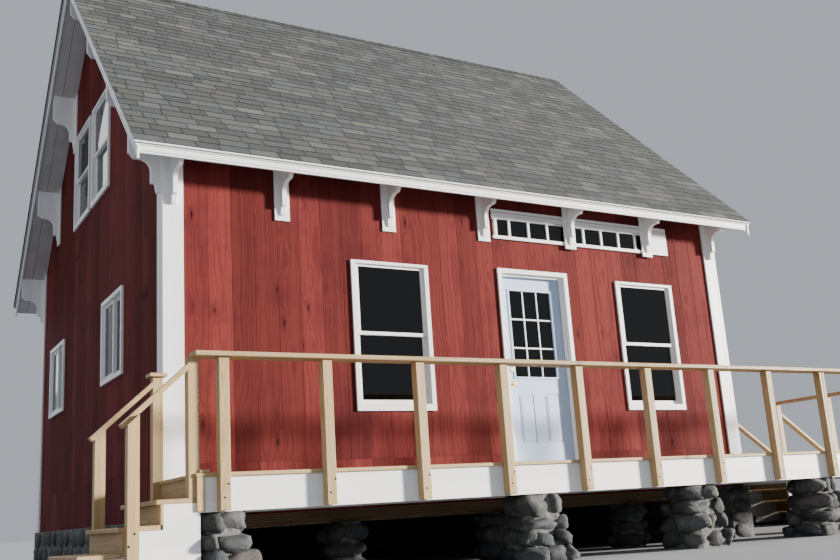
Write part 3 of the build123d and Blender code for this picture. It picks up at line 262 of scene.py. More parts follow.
def siding_stain():
    """Red stain on knotty vertical boards, thin where the wood is hard, dark in the grain."""
    return wood(
        "red_siding_boards", rgb(112, 49, 46), rgb(70, 27, 30), rgb(24, 9, 10), ring=0.03, figure=0.26,
        fibre=0.24, knots=0.95, spread=0.34, shine=0.05, rough=(0.75, 0.92), depth=0.0009,
        weather=(rgb(70, 26, 31), 0.6), size=0.1,
    )


def shingle_stuff(name, own=True, shade=1.0):
    """Asphalt shingles: mineral granules, a tone for each tab, and painted shade on the butts and the sides
    of the tabs.

    Without tabs of its own it is the felt below them, darkened as painted shade for the slots between the
    tabs, with a white drip edge along the sides.
    """
    s = Shader(name)
    grit = s.cells(s.place(), 340.0, out="Color")
    grit = s.parts(grit)[0]
    fine = s.noise(s.place(), 900.0, 2.0)
    blend = s.noise(s.place(), 7.0, 4.0, 0.6)
    colour = s.mix(s.fit(grit, 0.15, 0.95), rgb(39, 43, 46), rgb(77, 80, 80))
    colour = s.mix(s.fit(blend, 0.38, 0.66, 0.0, 0.5), colour, rgb(58, 64, 69))
    if own:
        tone = s.parts(s.attribute("tone", "Color"))
        # shade below 1 darkens every tab: painted shade, used for the ridge caps.
        level = s.math("MULTIPLY_ADD", s.math("POWER", tone[0], 1.8), 0.72 * shade, 0.74 * shade)
        warm = s.fit(tone[1], 0.5, 1.0, 0.0, 0.28)
        colour = s.mix(warm, colour, rgb(104, 102, 92))
        colour = s.dim(colour, level)
        # Painted shade: faces that do not look up, the butts and the sides of the tabs, go nearly black.
        up = s.parts(s.add("ShaderNodeNewGeometry").outputs["True Normal"])[2]
        colour = s.mix(s.fit(up, 0.35, 0.1), colour, rgb(22, 23, 23))
    else:
        # The felt is darkened as painted shade of the slots; faces that look sideways get the white drip
        # edge.
        up = s.math("ABSOLUTE", s.parts(s.add("ShaderNodeNewGeometry").outputs["True Normal"])[2])
        colour = s.mix(s.fit(up, 0.3, 0.6), rgb(226, 229, 232), s.mix(0.72, colour, rgb(28, 29, 28)))
    height = s.math("ADD", grit, s.math("MULTIPLY", fine, 0.6))
    return s.finish(colour, s.fit(grit, 0.0, 1.0, 0.82, 0.95), s.bump(height, 0.0012, 0.8))


def stone_stuff():
    """Field stones: speckled granite and slate, a tone for each stone, lichen and damp."""
    s = Shader("fieldstone_rocks")
    where = s.attribute("grain")
    tone = s.parts(s.attribute("tone", "Color"))
    broad = s.noise(where, 6.0, 8.0, 0.65, 0.6)
    speck = s.noise(where, 64.0, 5.0, 0.75)
    vein = s.cells(s.scaled(where, (1.0, 1.0, 2.6)), 9.0, "DISTANCE_TO_EDGE")
    colour = s.mix(s.fit(broad, 0.3, 0.7), rgb(44, 47, 50), rgb(92, 93, 92))
    colour = s.mix(s.fit(tone[0], 0.55, 1.0, 0.0, 0.5), colour, rgb(94, 80, 70))
    colour = s.mix(s.fit(tone[1], 0.5, 1.0, 0.0, 0.55), colour, rgb(64, 74, 82))
    colour = s.mix(s.fit(speck, 0.53, 0.66, 0.0, 0.8), colour, rgb(30, 31, 33))
    colour = s.mix(s.fit(speck, 0.44, 0.3, 0.0, 0.6), colour, rgb(150, 150, 146))
    colour = s.mix(s.fit(vein, 0.02, 0.0, 0.0, 0.25), colour, rgb(58, 54, 50))
    lichen = s.noise(where, 14.0, 5.0, 0.75)
    colour = s.mix(s.fit(lichen, 0.6, 0.72, 0.0, 0.35), colour, rgb(126, 130, 112))
    smear = s.noise(where, 8.0, 6.0, 0.7, 0.4)
    colour = s.mix(s.fit(smear, 0.54, 0.66, 0.0, 0.6), colour, rgb(98, 102, 104))
    level = s.fit(tone[2], 0.0, 1.0, 0.52, 1.0, smooth=False)
    colour = s.dim(colour, level)
    height = s.math("ADD", s.math("MULTIPLY", broad, 2.0), s.math("MULTIPLY", speck, 0.35))
    return s.finish(colour, s.fit(broad, 0.3, 0.7, 0.7, 0.92), s.bump(height, 0.016, 1.0))


def mortar_stuff():
    """Lime mortar: sandy, uneven, darker where damp."""
    s = Shader("mortar")
    sand = s.noise(s.place(), 260.0, 3.0, 0.7)
    lump = s.noise(s.place(), 16.0, 5.0, 0.6)
    colour = s.mix(s.fit(lump, 0.3, 0.7), rgb(84, 86, 86), rgb(118, 119, 117))
    colour = s.mix(s.fit(sand, 0.5, 0.75, 0.0, 0.5), colour, rgb(74, 74, 72))
    height = s.math("ADD", s.math("MULTIPLY", lump, 3.0), sand)
    return s.finish(colour, 0.93, s.bump(height, 0.006, 0.9))


def vinyl_stuff():
    """Extruded white vinyl: even and slightly glossy, dust along the ledges."""
    s = Shader("window_vinyl_frames", Specular_IOR_Level=0.45)
    dust = s.noise(s.place(), 11.0, 5.0, 0.7)
    ripple = s.noise(s.scaled(s.place(), (40.0, 40.0, 4.0)), 1.0, 2.0)
    up = s.parts(s.add("ShaderNodeNewGeometry").outputs["Normal"])[2]
    colour = s.mix(s.fit(dust, 0.5, 0.8, 0.0, 0.12), rgb(232, 234, 235), rgb(170, 168, 160))
    ledge = s.math("MULTIPLY", s.fit(up, 0.5, 0.9), s.fit(dust, 0.35, 0.7, 0.15, 0.5))
    colour = s.mix(ledge, colour, rgb(150, 146, 136))
    return s.finish(colour, s.fit(dust, 0.3, 0.8, 0.28, 0.45), s.bump(ripple, 0.0003, 0.5))


def glass_stuff():
    """Window glass, tinted almost black as painted shade of the dark inside, a little uneven, with a thin
    film of dust.
    """
    s = Shader("window_glass_panes_shaded", Transmission_Weight=0.9, IOR=1.45, Base_Color=rgb(22, 25, 26))
    film = s.noise(s.place(), 5.0, 5.0, 0.7)
    wave = s.noise(s.place(), 1.6, 1.0)
    return s.finish(None, s.fit(film, 0.35, 0.8, 0.01, 0.06), s.bump(wave, 0.004, 0.25))


def metal_stuff(name, bright, dull, rough=0.35):
    """Turned or stamped metal with fine scratches and tarnish."""
    s = Shader(name, Metallic=1.0)
    cloud = s.noise(s.place(), 38.0, 5.0, 0.7)
    scratch = s.noise(s.scaled(s.place(), (900.0, 60.0, 60.0)), 1.0, 2.0)
    colour = s.mix(s.fit(cloud, 0.35, 0.75), bright, dull)
    return s.finish(colour, s.fit(cloud, 0.3, 0.8, rough, rough + 0.25), s.bump(scratch, 0.0001, 0.5))


def door_stuff():
    """Factory-painted steel door skin: pale blue-white with faint orange peel."""
    s = Shader("door_paint_skin")
    peel = s.noise(s.place(), 420.0, 2.0)
    cloud = s.noise(s.place(), 2.2, 4.0, 0.6)
    scuff = s.noise(s.scaled(s.place(), (14.0, 14.0, 3.0)), 1.0, 6.0, 0.7)
    colour = s.mix(s.fit(cloud, 0.3, 0.7), rgb(182, 202, 231), rgb(170, 192, 223))
    colour = s.mix(s.fit(scuff, 0.62, 0.8, 0.0, 0.25), colour, rgb(150, 152, 152))
    return s.finish(colour, s.fit(cloud, 0.3, 0.7, 0.34, 0.46), s.bump(peel, 0.00025, 0.5))


# Colours and figure that several materials share
WHITE = (rgb(240, 242, 244), rgb(226, 229, 232))
PINE = (rgb(188, 162, 118), rgb(150, 118, 76), rgb(84, 56, 34))
PINE_LOOK = {"ring": 0.009, "figure": 0.38, "fibre": 0.4, "spread": 0.16,
             "weather": (rgb(166, 154, 130), 0.4)}
TIMBER = (rgb(172, 146, 108), rgb(124, 98, 66), rgb(80, 54, 36))

MAT = {
    "siding": siding_stain(),
    "pine": wood("pine_lumber", *PINE, knots=0.95, size=0.1, **PINE_LOOK),
    # A darker copy of the lumber: painted shade for the pieces under the deck and the floor.
    "rough_own_shaded": wood("rough_sawn_lumber_shaded", rgb(116, 96, 70), rgb(78, 60, 42), rgb(50, 34, 24),
                      ring=0.012, figure=0.5, fibre=0.6, knots=0.7, spread=0.25, rough=(0.7, 0.9),
                      depth=0.0012, weather=(rgb(78, 72, 62), 0.5)),
    "trim": paint("white_trim_paint", *WHITE, along="z"),
    "trim_x": paint("white_trim_paint_level", *WHITE, along="x"),
    "fascia": paint("white_fascia_paint", *WHITE, along="x", joints=fascia_shadow_lines),
    "barge": paint("white_barge_paint", *WHITE, along="y", joints=barge_shadow_lines),
    # The soffits' white paint is given grey: painted shade under the overhang.
    "soffit": paint("soffit_boards_shaded_paint", rgb(188, 187, 187), rgb(176, 175, 175), along="y", dirt=0.05,
                    joints=soffit_joints),
    "transom": paint("transom_paint", rgb(238, 240, 242), rgb(222, 226, 230), along="x",
                     joints=transom_shade_lines),
    "vinyl": vinyl_stuff(),
    "glass": glass_stuff(),
    "door": door_stuff(),
    "brass": metal_stuff("satin_brass", rgb(204, 176, 120), rgb(146, 118, 72)),
    "steel": metal_stuff("dark_bolt_steel", rgb(70, 66, 62), rgb(38, 34, 32), 0.45),
    "shingle": shingle_stuff("asphalt_shingles"),
    # The ridge caps are the shingles darkened to less than half: painted shade of the caps seen edge-on.
    "ridge": shingle_stuff("asphalt_ridge_shingles_shaded", shade=0.45),
    "felt": shingle_stuff("asphalt_underlay_shaded", own=False),
    "rock": stone_stuff(),
    "mortar": mortar_stuff(),
    "blank": paint("pale_panel_paint", rgb(222, 219, 216), rgb(208, 206, 204), along="x"),
    "bars": paint("light_bar_paint", rgb(238, 241, 246), rgb(222, 227, 235), own=True, dirt=0.06),
}
for axis in "xyz":
    MAT["timber_" + axis] = wood(
        "framing_lumber_" + axis, *TIMBER, along=axis, ring=0.012, figure=0.5, fibre=0.55, spread=0.3,
        rough=(0.7, 0.9), depth=0.001,
    )


# Mesh helpers
class Pile:
    """Closed shapes gathered into one mesh; each has its own grain coordinates and tone."""

    def __init__(self, seed):
        self.points, self.faces, self.grain, self.tone = [], [], [], []
        self.rand = random.Random(seed)

    def put(self, points, faces, grain=None, tone=None, along=0, pith=0.09):
        """Adds one shape. along is its grain axis, 0 for x, 1 for y, 2 for z."""
        r = self.rand
        start = len(self.points)
        tone = tone or (r.random(), r.random(), r.random(), 1.0)
        slide = (r.uniform(0, 40), r.uniform(-pith, pith), r.uniform(0.03, 0.16))
        order = {0: (0, 1, 2), 1: (1, 0, 2), 2: (2, 0, 1)}[along]
        source = grain or points
        middle = [sum(p[k] for p in source) / len(source) for k in range(3)]
        for p, g in zip(points, source):
            self.points.append(tuple(p))
            self.grain.append(tuple(g[k] - middle[k] + slide[i] for i, k in enumerate(order)))
            self.tone.append(tone)
        self.faces += [tuple(start + i for i in f) for f in faces]

    def block(self, low, high, along=0, edge=0.003, turn=None, **more):
        """A box with eased edges. turn is a matrix put on after the grain is laid."""
        size = [abs(high[k] - low[k]) for k in range(3)]
        edge = min([edge] + [0.3 * c for c in size])
        points, index = [], {}
        for sx in (0, 1):
            for sy in (0, 1):
                for sz in (0, 1):
                    corner = [high[k] if s else low[k] for k, s in enumerate((sx, sy, sz))]
                    inward = [-edge if s else edge for s in (sx, sy, sz)]
                    for face in range(3):
                        p = [corner[k] + (0 if k == face else inward[k]) for k in range(3)]
                        index[sx, sy, sz, face] = len(points)
                        points.append(p)
        faces = []
        for face in range(3):
            a, b = [k for k in range(3) if k != face]
            for side in (0, 1):
                ring = []
                for ca, cb in ((0, 0), (1, 0), (1, 1), (0, 1)):
                    s = [0, 0, 0]
                    s[face], s[a], s[b] = side, ca, cb
                    ring.append(index[s[0], s[1], s[2], face])
                faces.append(ring)
            for ca in (0, 1):
                for cb in (0, 1):
                    ends = []
                    for side in (0, 1):
                        s = [0, 0, 0]
                        s[face], s[a], s[b] = side, ca, cb
                        ends.append((index[s[0], s[1], s[2], a], index[s[0], s[1], s[2], b]))
                    faces.append([ends[0][0], ends[0][1], ends[1][1], ends[1][0]])
        for sx in (0, 1):
            for sy in (0, 1):
                for sz in (0, 1):
                    faces.append([index[sx, sy, sz, k] for k in range(3)])
        grain = points
        if turn is not None:
            points = [tuple(turn @ Vector(p)) for p in points]
        self.put(points, faces, grain=grain, along=along, **more)

    def skin(self, polygons, spot, edge_of, thick, along=2, **more):
        """Flat polygons in (u, v) that share points, as one closed plate.

        spot(u, v, out) gives the point in space, edge_of(u, v) how far its face is set back.
        """
        index, flat, faces = {}, [], []
        for polygon in polygons:
            face = []
            for u, v in polygon:
                key = (round(u, 5), round(v, 5))
                if key not in index:
                    index[key] = len(flat)
                    flat.append((u, v))
                if not face or face[-1] != index[key]:
                    face.append(index[key])
            if face[0] == face[-1]:
                face.pop()
            if len(face) > 2:
                faces.append(face)
        if not faces:
            return
        count = len(flat)
        edges = {}
        for face in faces:
            for a, b in zip(face, face[1:] + face[:1]):
                edges[a, b] = True
        sides = [(b, a, a + count, b + count) for a, b in edges if (b, a) not in edges]
        points = [spot(u, v, thick - edge_of(u, v)) for u, v in flat] + [spot(u, v, 0.0) for u, v in flat]
        back = [[i + count for i in reversed(f)] for f in faces]
        self.put(points, faces + back + [list(s) for s in sides], along=along, **more)

    def loop(self, spot, rect, profile, **more):
        """A moulding round a rectangle, mitred: profile lists (inward, outward) points, closed."""
        u0, u1, v0, v1 = rect
        points = []
        for inward, out in profile:
            for u, v in ((u0 + inward, v0 + inward), (u1 - inward, v0 + inward),
                         (u1 - inward, v1 - inward), (u0 + inward, v1 - inward)):
                points.append(spot(u, v, out))
        faces = []
        many = len(profile)
        for i in range(many):
            j = (i + 1) % many
            for k in range(4):
                n = (k + 1) % 4
                faces.append([4 * i + k, 4 * i + n, 4 * j + n, 4 * j + k])
        self.put(points, faces, **more)

    def make(self, name, material, slot, body="cabin", replaces=(), smooth=False):
        mesh = bpy.data.meshes.new(name)
        mesh.from_pydata(self.points, [], self.faces)
        mesh.validate()
        for label, kind, field, values in (("grain", "FLOAT_VECTOR", "vector", self.grain),
                                           ("tone", "FLOAT_COLOR", "color", self.tone)):
            layer = mesh.attributes.new(label, kind, "POINT")
            layer.data.foreach_set(field, np.array(values, np.float32).ravel())
        mesh.materials.append(material)
        mesh.update()
        upright(mesh)
        if smooth:
            mesh.polygons.foreach_set("use_smooth", [True] * len(mesh.polygons))
        made = bpy.data.objects.new(name, mesh)
        bpy.context.scene.collection.objects.link(made)
        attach(made, body)
        if replaces:
            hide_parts(*replaces)
        return made


def upright(mesh):
    """Turns every face outwards."""
    b = bmesh.new()
    b.from_mesh(mesh)
    bmesh.ops.recalc_face_normals(b, faces=b.faces)
    b.to_mesh(mesh)
    b.free()


def solids(node):
    """Lowest and highest corner of each separate solid of a CAD node, in the order of x, y, z."""
    mesh = NODES[node].data
    co = np.zeros(len(mesh.vertices) * 3, np.float32)
    mesh.vertices.foreach_get("co", co)
    co = co.reshape(-1, 3)
    keys, where = np.unique(np.round(co * 1e4).astype(np.int64), axis=0, return_inverse=True)
    where = where.reshape(-1)
    parent = list(range(len(keys)))

    def root(a):
        while parent[a] != a:
            parent[a] = parent[parent[a]]
            a = parent[a]
        return a

    for polygon in mesh.polygons:
        first = root(where[polygon.vertices[0]])
        for v in polygon.vertices[1:]:
            parent[root(where[v])] = first
    groups = {}
    for i in range(len(keys)):
        groups.setdefault(root(i), []).append(i)
    boxes = [(keys[g].min(0) / 1e4, keys[g].max(0) / 1e4) for g in groups.values()]
    return sorted((tuple(map(float, a)), tuple(map(float, b))) for a, b in boxes)


def clip(polygon, keep):
    """The part of a convex polygon in (u, v) where keep(u, v) is not negative; keep is linear."""
    out = []
    for a, b in zip(polygon, polygon[1:] + polygon[:1]):
        ka, kb = keep(*a), keep(*b)
        if ka >= 0:
            out.append(a)
        if (ka >= 0) != (kb >= 0):
            t = ka / (ka - kb)
            out.append((a[0] + t * (b[0] - a[0]), a[1] + t * (b[1] - a[1])))
    return out if len(out) > 2 else []


# The building's places, in metres
HALF_X, HALF_Y = 3.666, 3.240
WALL_FOOT, DECK, DECK_RIGHT = 0.620, 0.950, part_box("deck_rim")[1].x
LEAF_FACE = -3.174
SOFFIT_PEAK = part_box("soffits")[1].z  # the soffits' underside climbs to this height at the middle
ABOVE_ROOF = 8.0
POST = 0.089  # a 4x4's width

# The siding
BOARD = 0.2404  # width of a board
BOARD_VARIES = 0.004
SEAM = -3.2506  # one seam of the front and rear walls
GABLE_SEAM = -3.12
SLIVER = 0.02  # no board is narrower
SKIRT = 1.10  # level joint near the foot
GROOVE, GROOVE_DEEP = 0.0035, 0.0022
SOFFIT_GAP = 0.004  # boards stop this far under the soffits
TOUCH = 1e-6


def board_seams(half, seam, seed):
    """Places of the upright seams from one corner of a wall to the other, a little uneven."""
    wobble = random.Random(seed)
    places = [-half]
    at = seam - BOARD * math.floor((seam + half) / BOARD)
    while at < half - SLIVER:
        if at > -half + SLIVER:
            places.append(at)
        at += BOARD + wobble.uniform(-BOARD_VARIES, BOARD_VARIES)
    return places + [half]


def open_spans(holes, left, right, foot, head):
    """The heights of an upright strip that no hole takes up, as (low, high) pairs."""
    over = sorted((h[2], h[3]) for h in holes if h[0] < right - TOUCH and h[1] > left + TOUCH)
    low = foot
    spans = []
    for z0, z1 in over:
        if z0 > low:
            spans.append((low, min(z0, head)))
        low = max(low, z1)
    if low < head:
        spans.append((low, head))
    return [(z0, z1) for z0, z1 in spans if z1 - z0 >= 1e-4]


def board_faces(holes, tops, left, right, foot, head):
    """One board as flat polygons in (u, v), with rows for its grooves, round holes and under tops."""
    edges = {left, left + GROOVE, right - GROOVE, right}
    for hole in holes:
        edges |= {c for c in hole[:2] if left < c < right}
    edges = sorted(edges)
    joints = (foot + GROOVE, SKIRT - GROOVE if foot < SKIRT else -1)
    polygons = []
    for a, b in zip(edges, edges[1:]):
        for z0, z1 in open_spans(holes, a, b, foot, head):
            rows = [z0] + [z for z in joints if z0 < z < z1] + [z1]
            for r0, r1 in zip(rows, rows[1:]):
                polygon = [(a, r0), (b, r0), (b, r1), (a, r1)]
                for top in tops:
                    polygon = clip(polygon, top) if polygon else []
                if polygon:
                    polygons.append(polygon)
    return polygons


def walls():
    """Vertical boards over each wall, cut round its openings and up to the soffits."""
    front_holes = [(low[0], high[0], low[2], high[2])
                   for node in ("front_window_frames", "transom_frame", "door_frame")
                   for low, high in solids(node)]
    rear_holes = [(-high[0], -low[0], low[2], high[2]) for low, high in solids("rear_window_frames")]
    gables = solids("gable_window_frames")
    left_holes = [(-high[1], -low[1], low[2], high[2]) for low, high in gables if low[0] < 0]
    right_holes = [(low[1], high[1], low[2], high[2]) for low, high in gables if low[0] > 0]
    eaves = [lambda u, v: SOFFIT_PEAK - HALF_Y - SOFFIT_GAP - v]
    rakes = [lambda u, v, s=s: SOFFIT_PEAK - SOFFIT_GAP - s * u - v for s in (1, -1)]
    jobs = (
        ("siding_front", HALF_X, front_holes, eaves, lambda u, v, o: (u, -HALF_Y - o, v), 11, SEAM),
        ("siding_rear", HALF_X, rear_holes, eaves, lambda u, v, o: (-u, HALF_Y + o, v), 12, SEAM),
        ("siding_left", HALF_Y, left_holes, rakes, lambda u, v, o: (-HALF_X - o, -u, v), 13, GABLE_SEAM),
        ("siding_right", HALF_Y, right_holes, rakes, lambda u, v, o: (HALF_X + o, u, v), 14, GABLE_SEAM),
    )
    for name, half, holes, tops, spot, seed, seam in jobs:
        pile = Pile(seed)
        places = board_seams(half, seam, seed * 7)
        for left, right in zip(places, places[1:]):
            for foot, head in ((WALL_FOOT, SKIRT), (SKIRT, ABOVE_ROOF)):
                polygons = board_faces(holes, tops, left, right, foot, head)
                back = pile.rand.uniform(0, 0.0006)

                def edge_of(u, v, left=left, right=right, back=back):
                    inset = min(u - left, right - u)
                    deep = GROOVE_DEEP * max(0.0, 1 - inset / GROOVE)
                    if abs(v - SKIRT) < TOUCH:
                        deep = GROOVE_DEEP
                    return back + deep

                if polygons:
                    pile.skin(polygons, spot, edge_of, SKIN)
        pile.make(name, MAT["siding"], "red_siding")


# The shingles
COURSES = 36  # rows up a slope
LAP = 0.022  # a row runs this far under the next
TAB_WIDTHS = (0.305, 0.305, 0.27, 0.23, 0.2, 0.33)
TAB_GAP = 0.008
TAB_THICK, TAB_BACK, TAB_UNDER = 0.0082, 0.0016, 0.0003  # heights over the slope: butt, top edge, underside
CAP_STEP, CAP_LAP, CAP_LEG = 0.143, 0.02, 0.150  # ridge caps along the ridge, and down each slope


def tab(a, b, low0, low1, head, lift):
    """One shingle tab from a to b, its butt from low0 to low1, as (slope places, faces)."""
    soft = min(0.004, 0.2 * (b - a))
    rim = ((a + soft, low0), (b - soft, low1), (b, low1 + soft), (b, head), (a, head), (a, low0 + soft))
    heights = (lift - 0.0006, lift - 0.0006, lift, TAB_BACK, TAB_BACK, lift)
    places = [(u, s, n) for (u, s), n in zip(rim, heights)] + [(u, s, TAB_UNDER) for u, s in rim]
    faces = [[0, 1, 2, 5], [5, 2, 3, 4], [6, 11, 8, 7], [11, 10, 9, 8]]
    faces += [[k, k + 6, (k + 1) % 6 + 6, (k + 1) % 6] for k in range(6)]
    return places, faces


def roof():
    """Courses of asphalt tabs up both slopes and bent caps along the ridge."""
    low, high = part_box("roof_front_slope")
    peak, end = high.z, high.x
    run = abs(low.y)
    slope = run * math.sqrt(2)
    rise = slope / COURSES
    for name, side, seed in (("shingles_front", -1, 21), ("shingles_rear", 1, 22)):
        pile = Pile(seed)
        r = pile.rand

        def spot(u, s, n, side=side):
            out = (s - slope) / math.sqrt(2)
            return (u, -side * out + side * n / math.sqrt(2), peak + out + n / math.sqrt(2))

        for row in range(COURSES):
            foot = row * rise
            head = min(slope - 0.002, foot + rise + LAP)
            u = -end - r.uniform(0.0, 0.25)
            while u < end:
                wide = r.choice(TAB_WIDTHS)
                a, b = max(-end, u), min(end, u + wide - TAB_GAP)
                u += wide
                if b - a < 0.03:
                    continue
                lift = TAB_THICK + r.uniform(-0.0008, 0.0012)
                sag = r.uniform(-0.0015, 0.0015)
                tilt = r.uniform(-0.0012, 0.0012)
                low0, low1 = foot + sag + tilt, foot + sag - tilt
                if row == 0:
                    low0 = low1 = 0.0
                places, faces = tab(a, b, low0, low1, head, lift)
                pile.put([spot(*p) for p in places], faces)
        pile.make(name, MAT["shingle"], "shingles")
    ridge(peak, end)


def ridge(peak, end):
    """Bent caps along the ridge, each laid over the end of the one before it."""
    caps = Pile(23)
    count = int(2 * end / CAP_STEP)
    step = 2 * end / count
    base = peak + 0.009
    flank = CAP_LEG / math.sqrt(2)
    across = (-flank, -0.035, 0.0, 0.035, flank)
    for k in range(count):
        x0 = -end + k * step
        x1 = min(end, x0 + step + CAP_LAP)
        points = []
        for x, lift in ((x0, 0.0062), (x1, 0.0012)):
            points += [(x, y, base - abs(y) * 0.985 - 0.004 * (abs(y) < 0.001) + n)
                       for n in (lift, 0.0) for y in across]
        faces = []
        for i in range(4):
            faces.append([i, i + 1, i + 11, i + 10])
            faces.append([5 + i, 15 + i, 16 + i, 6 + i])
            faces.append([i, 5 + i, 6 + i, i + 1])
            faces.append([10 + i, 11 + i, 16 + i, 15 + i])
        faces += [[0, 10, 15, 5], [4, 9, 19, 14]]
        caps.put(points, faces)
    caps.make("ridge_caps", MAT["ridge"], "shingles", replaces=["ridge_cap"])


BALLS = {}  # the plain balls that stones are worn from, by their fineness


def plain_ball(fine):
    """Points and faces of an even ball."""
    if fine not in BALLS:
        b = bmesh.new()
        bmesh.ops.create_icosphere(b, subdivisions=fine, radius=1.0)
        BALLS[fine] = ([v.co.copy() for v in b.verts], [[v.index for v in f.verts] for f in b.faces])
        b.free()
    return BALLS[fine]


def rock(pile, middle, radii, seed, fine=2, turn=0.0, top=9.0):
    """One weathered stone: a squarish ball, worn into facets, with lumps, cut off level at top."""
    ball, faces = plain_ball(fine)
    r = random.Random(seed)
    shift = Vector((r.uniform(0, 50), r.uniform(0, 50), r.uniform(0, 50)))
    spin = Matrix.Rotation(turn, 3, "Z") @ Matrix.Rotation(r.uniform(-0.16, 0.16), 3, "X")
    spin = spin @ Matrix.Rotation(r.uniform(-0.16, 0.16), 3, "Y")
    cuts = []
    for _ in range(9):
        d = Vector((r.gauss(0, 1), r.gauss(0, 1), r.gauss(0, 1) * 0.8)).normalized()
        cuts.append((d, r.uniform(0.7, 0.93)))
    points = []
    power = 2.8  # 2 would be round, and more is squarer
    for p in ball:
        q = p / (abs(p.x) ** power + abs(p.y) ** power + abs(p.z) ** power) ** (1 / power)
        for d, limit in cuts:
            over = q.dot(d) - limit
            if over > 0:
                q -= d * over * 0.85
        q *= 1 + noise.fractal(q * 1.4 + shift, 0.8, 2.1, 4) * 0.13 + noise.noise(q * 5.5 + shift) * 0.04
        q = Vector((q.x * radii[0], q.y * radii[1], q.z * radii[2]))
        q = spin @ q + Vector(middle)
        q.z = min(top, max(q.z, 0.0))
        points.append(tuple(q))
    pile.put(points, faces)


def round_plan(x0, x1, y0, y1, radius):
    """A rectangle with round corners as (length, place): place(t) gives (x, y, heading)."""
    corners = ((x1 - radius, y0 + radius, -90), (x1 - radius, y1 - radius, 0), (x0 + radius, y1 - radius, 90),
               (x0 + radius, y0 + radius, 180))
    sides = (x1 - x0 - 2 * radius, y1 - y0 - 2 * radius) * 2
    arc = math.pi / 2 * radius

    def place(t):
        for side, (cx, cy, start) in zip(sides, corners):
            a = math.radians(start)
            if t <= side:
                back = side - t
                return (cx + radius * math.cos(a) + back * math.sin(a),
                        cy + radius * math.sin(a) - back * math.cos(a), a + math.pi / 2)
            t -= side
            if t <= arc:
                a += t / radius
                return cx + radius * math.cos(a), cy + radius * math.sin(a), a + math.pi / 2
            t -= arc
        return place(0.0)

    return sum(sides) + 4 * arc, place


def column(pile, outline, head, seed, radius, rings=12, around=32, lump=0.016):
    """A rough core of mortar: outline(z) gives (x0, x1, y0, y1) at a height."""
    shift = Vector((seed * 3.7, seed * 1.3, 0))
    points = []
    for k in range(rings + 1):
        z = head * k / rings
        length, place = round_plan(*outline(z), radius)
        for i in range(around):
            x, y, heading = place(length * i / around)
            push = noise.fractal(Vector((x, y, z)) * 9 + shift, 0.8, 2.0, 4) * lump
            points.append((x + math.sin(heading) * push, y - math.cos(heading) * push, z))
    faces = [[k * around + i, k * around + (i + 1) % around, (k + 1) * around + (i + 1) % around,
              (k + 1) * around + i] for k in range(rings) for i in range(around)]
    faces += [list(range(around))[::-1], [rings * around + i for i in range(around)]]
    pile.put(points, faces)


CORE_IN = 0.05  # the mortar lies this far behind the stones' outline
PIER_FLARE = 0.09  # a pier's foot is wider than its head by this, all round


def pier(boulders, core, outline, head, seed, fine, across=0.36, radius=0.14):
    """Field stones laid up round an outline(z), in uneven beds, with mortar between."""
    r = random.Random(seed)
    z, count = 0.0, 0
    while z < head - 0.02:
        tall = r.uniform(0.13, 0.21)
        if head - z - tall < 0.1:
            tall = head - z
        length, place = round_plan(*outline(z + tall * 0.4), radius)
        t = start = r.uniform(0, 0.3)
        marks = []
        while t < length + start - 0.1:
            long = across * r.choice((0.62, 0.85, 1.0, 1.0, 1.2))
            marks.append((t + long / 2, long))
            t += long
        squeeze = length / (t - start)
        for t, long in marks:
            x, y, heading = place((start + (t - start) * squeeze) % length)
            long *= squeeze
            deep = r.uniform(0.09, 0.12)
            inward = deep - r.uniform(-0.004, 0.02)
            high = tall * r.uniform(0.5, 0.58)
            up = z + tall / 2 + (r.uniform(-0.014, 0.014) if z > 0.02 else 0.0)
            rock(boulders, (x - math.sin(heading) * inward, y + math.cos(heading) * inward, up),
                 (long * 0.51, deep, high), seed * 100 + count, fine, heading, head)
            count += 1
        z += tall

    def inner(z):
        return [c + (CORE_IN if k in (0, 2) else -CORE_IN) for k, c in enumerate(outline(z))]

    column(core, inner, head, seed, radius - 0.03)


def stones():
    """Deck piers and house piers laid up from field stones, and a rubble face on the foundation."""
    fore, far, core = Pile(31), Pile(33), Pile(32)
    for k, (low, high) in enumerate(solids("deck_piers")):
        tall = high[2]
        plumb = low[0] < -3.6  # the first pier stands straight against the stair

        def outline(z, low=low, high=high, plumb=plumb, tall=tall):
            g = PIER_FLARE * z / tall
            return (low[0] + (0 if plumb else g), high[0] - g, low[1] + g, high[1] - g)

        front = low[1] < -3.0
        pier(fore if front else far, core, outline, tall, 40 + k, 3 if front else 2)
    fore.make("pier_stones", MAT["rock"], "fieldstone", smooth=True, replaces=["deck_piers"])
    for k, (low, high) in enumerate(solids("house_piers")):
        pier(far, core, lambda z, low=low, high=high: (low[0], high[0], low[1], high[1]), high[2], 60 + k, 2)
    far.make("house_pier_stones", MAT["rock"], "fieldstone", smooth=True, replaces=["house_piers"])
    core.make("pier_mortar", MAT["mortar"], "fieldstone")
    footing_face()


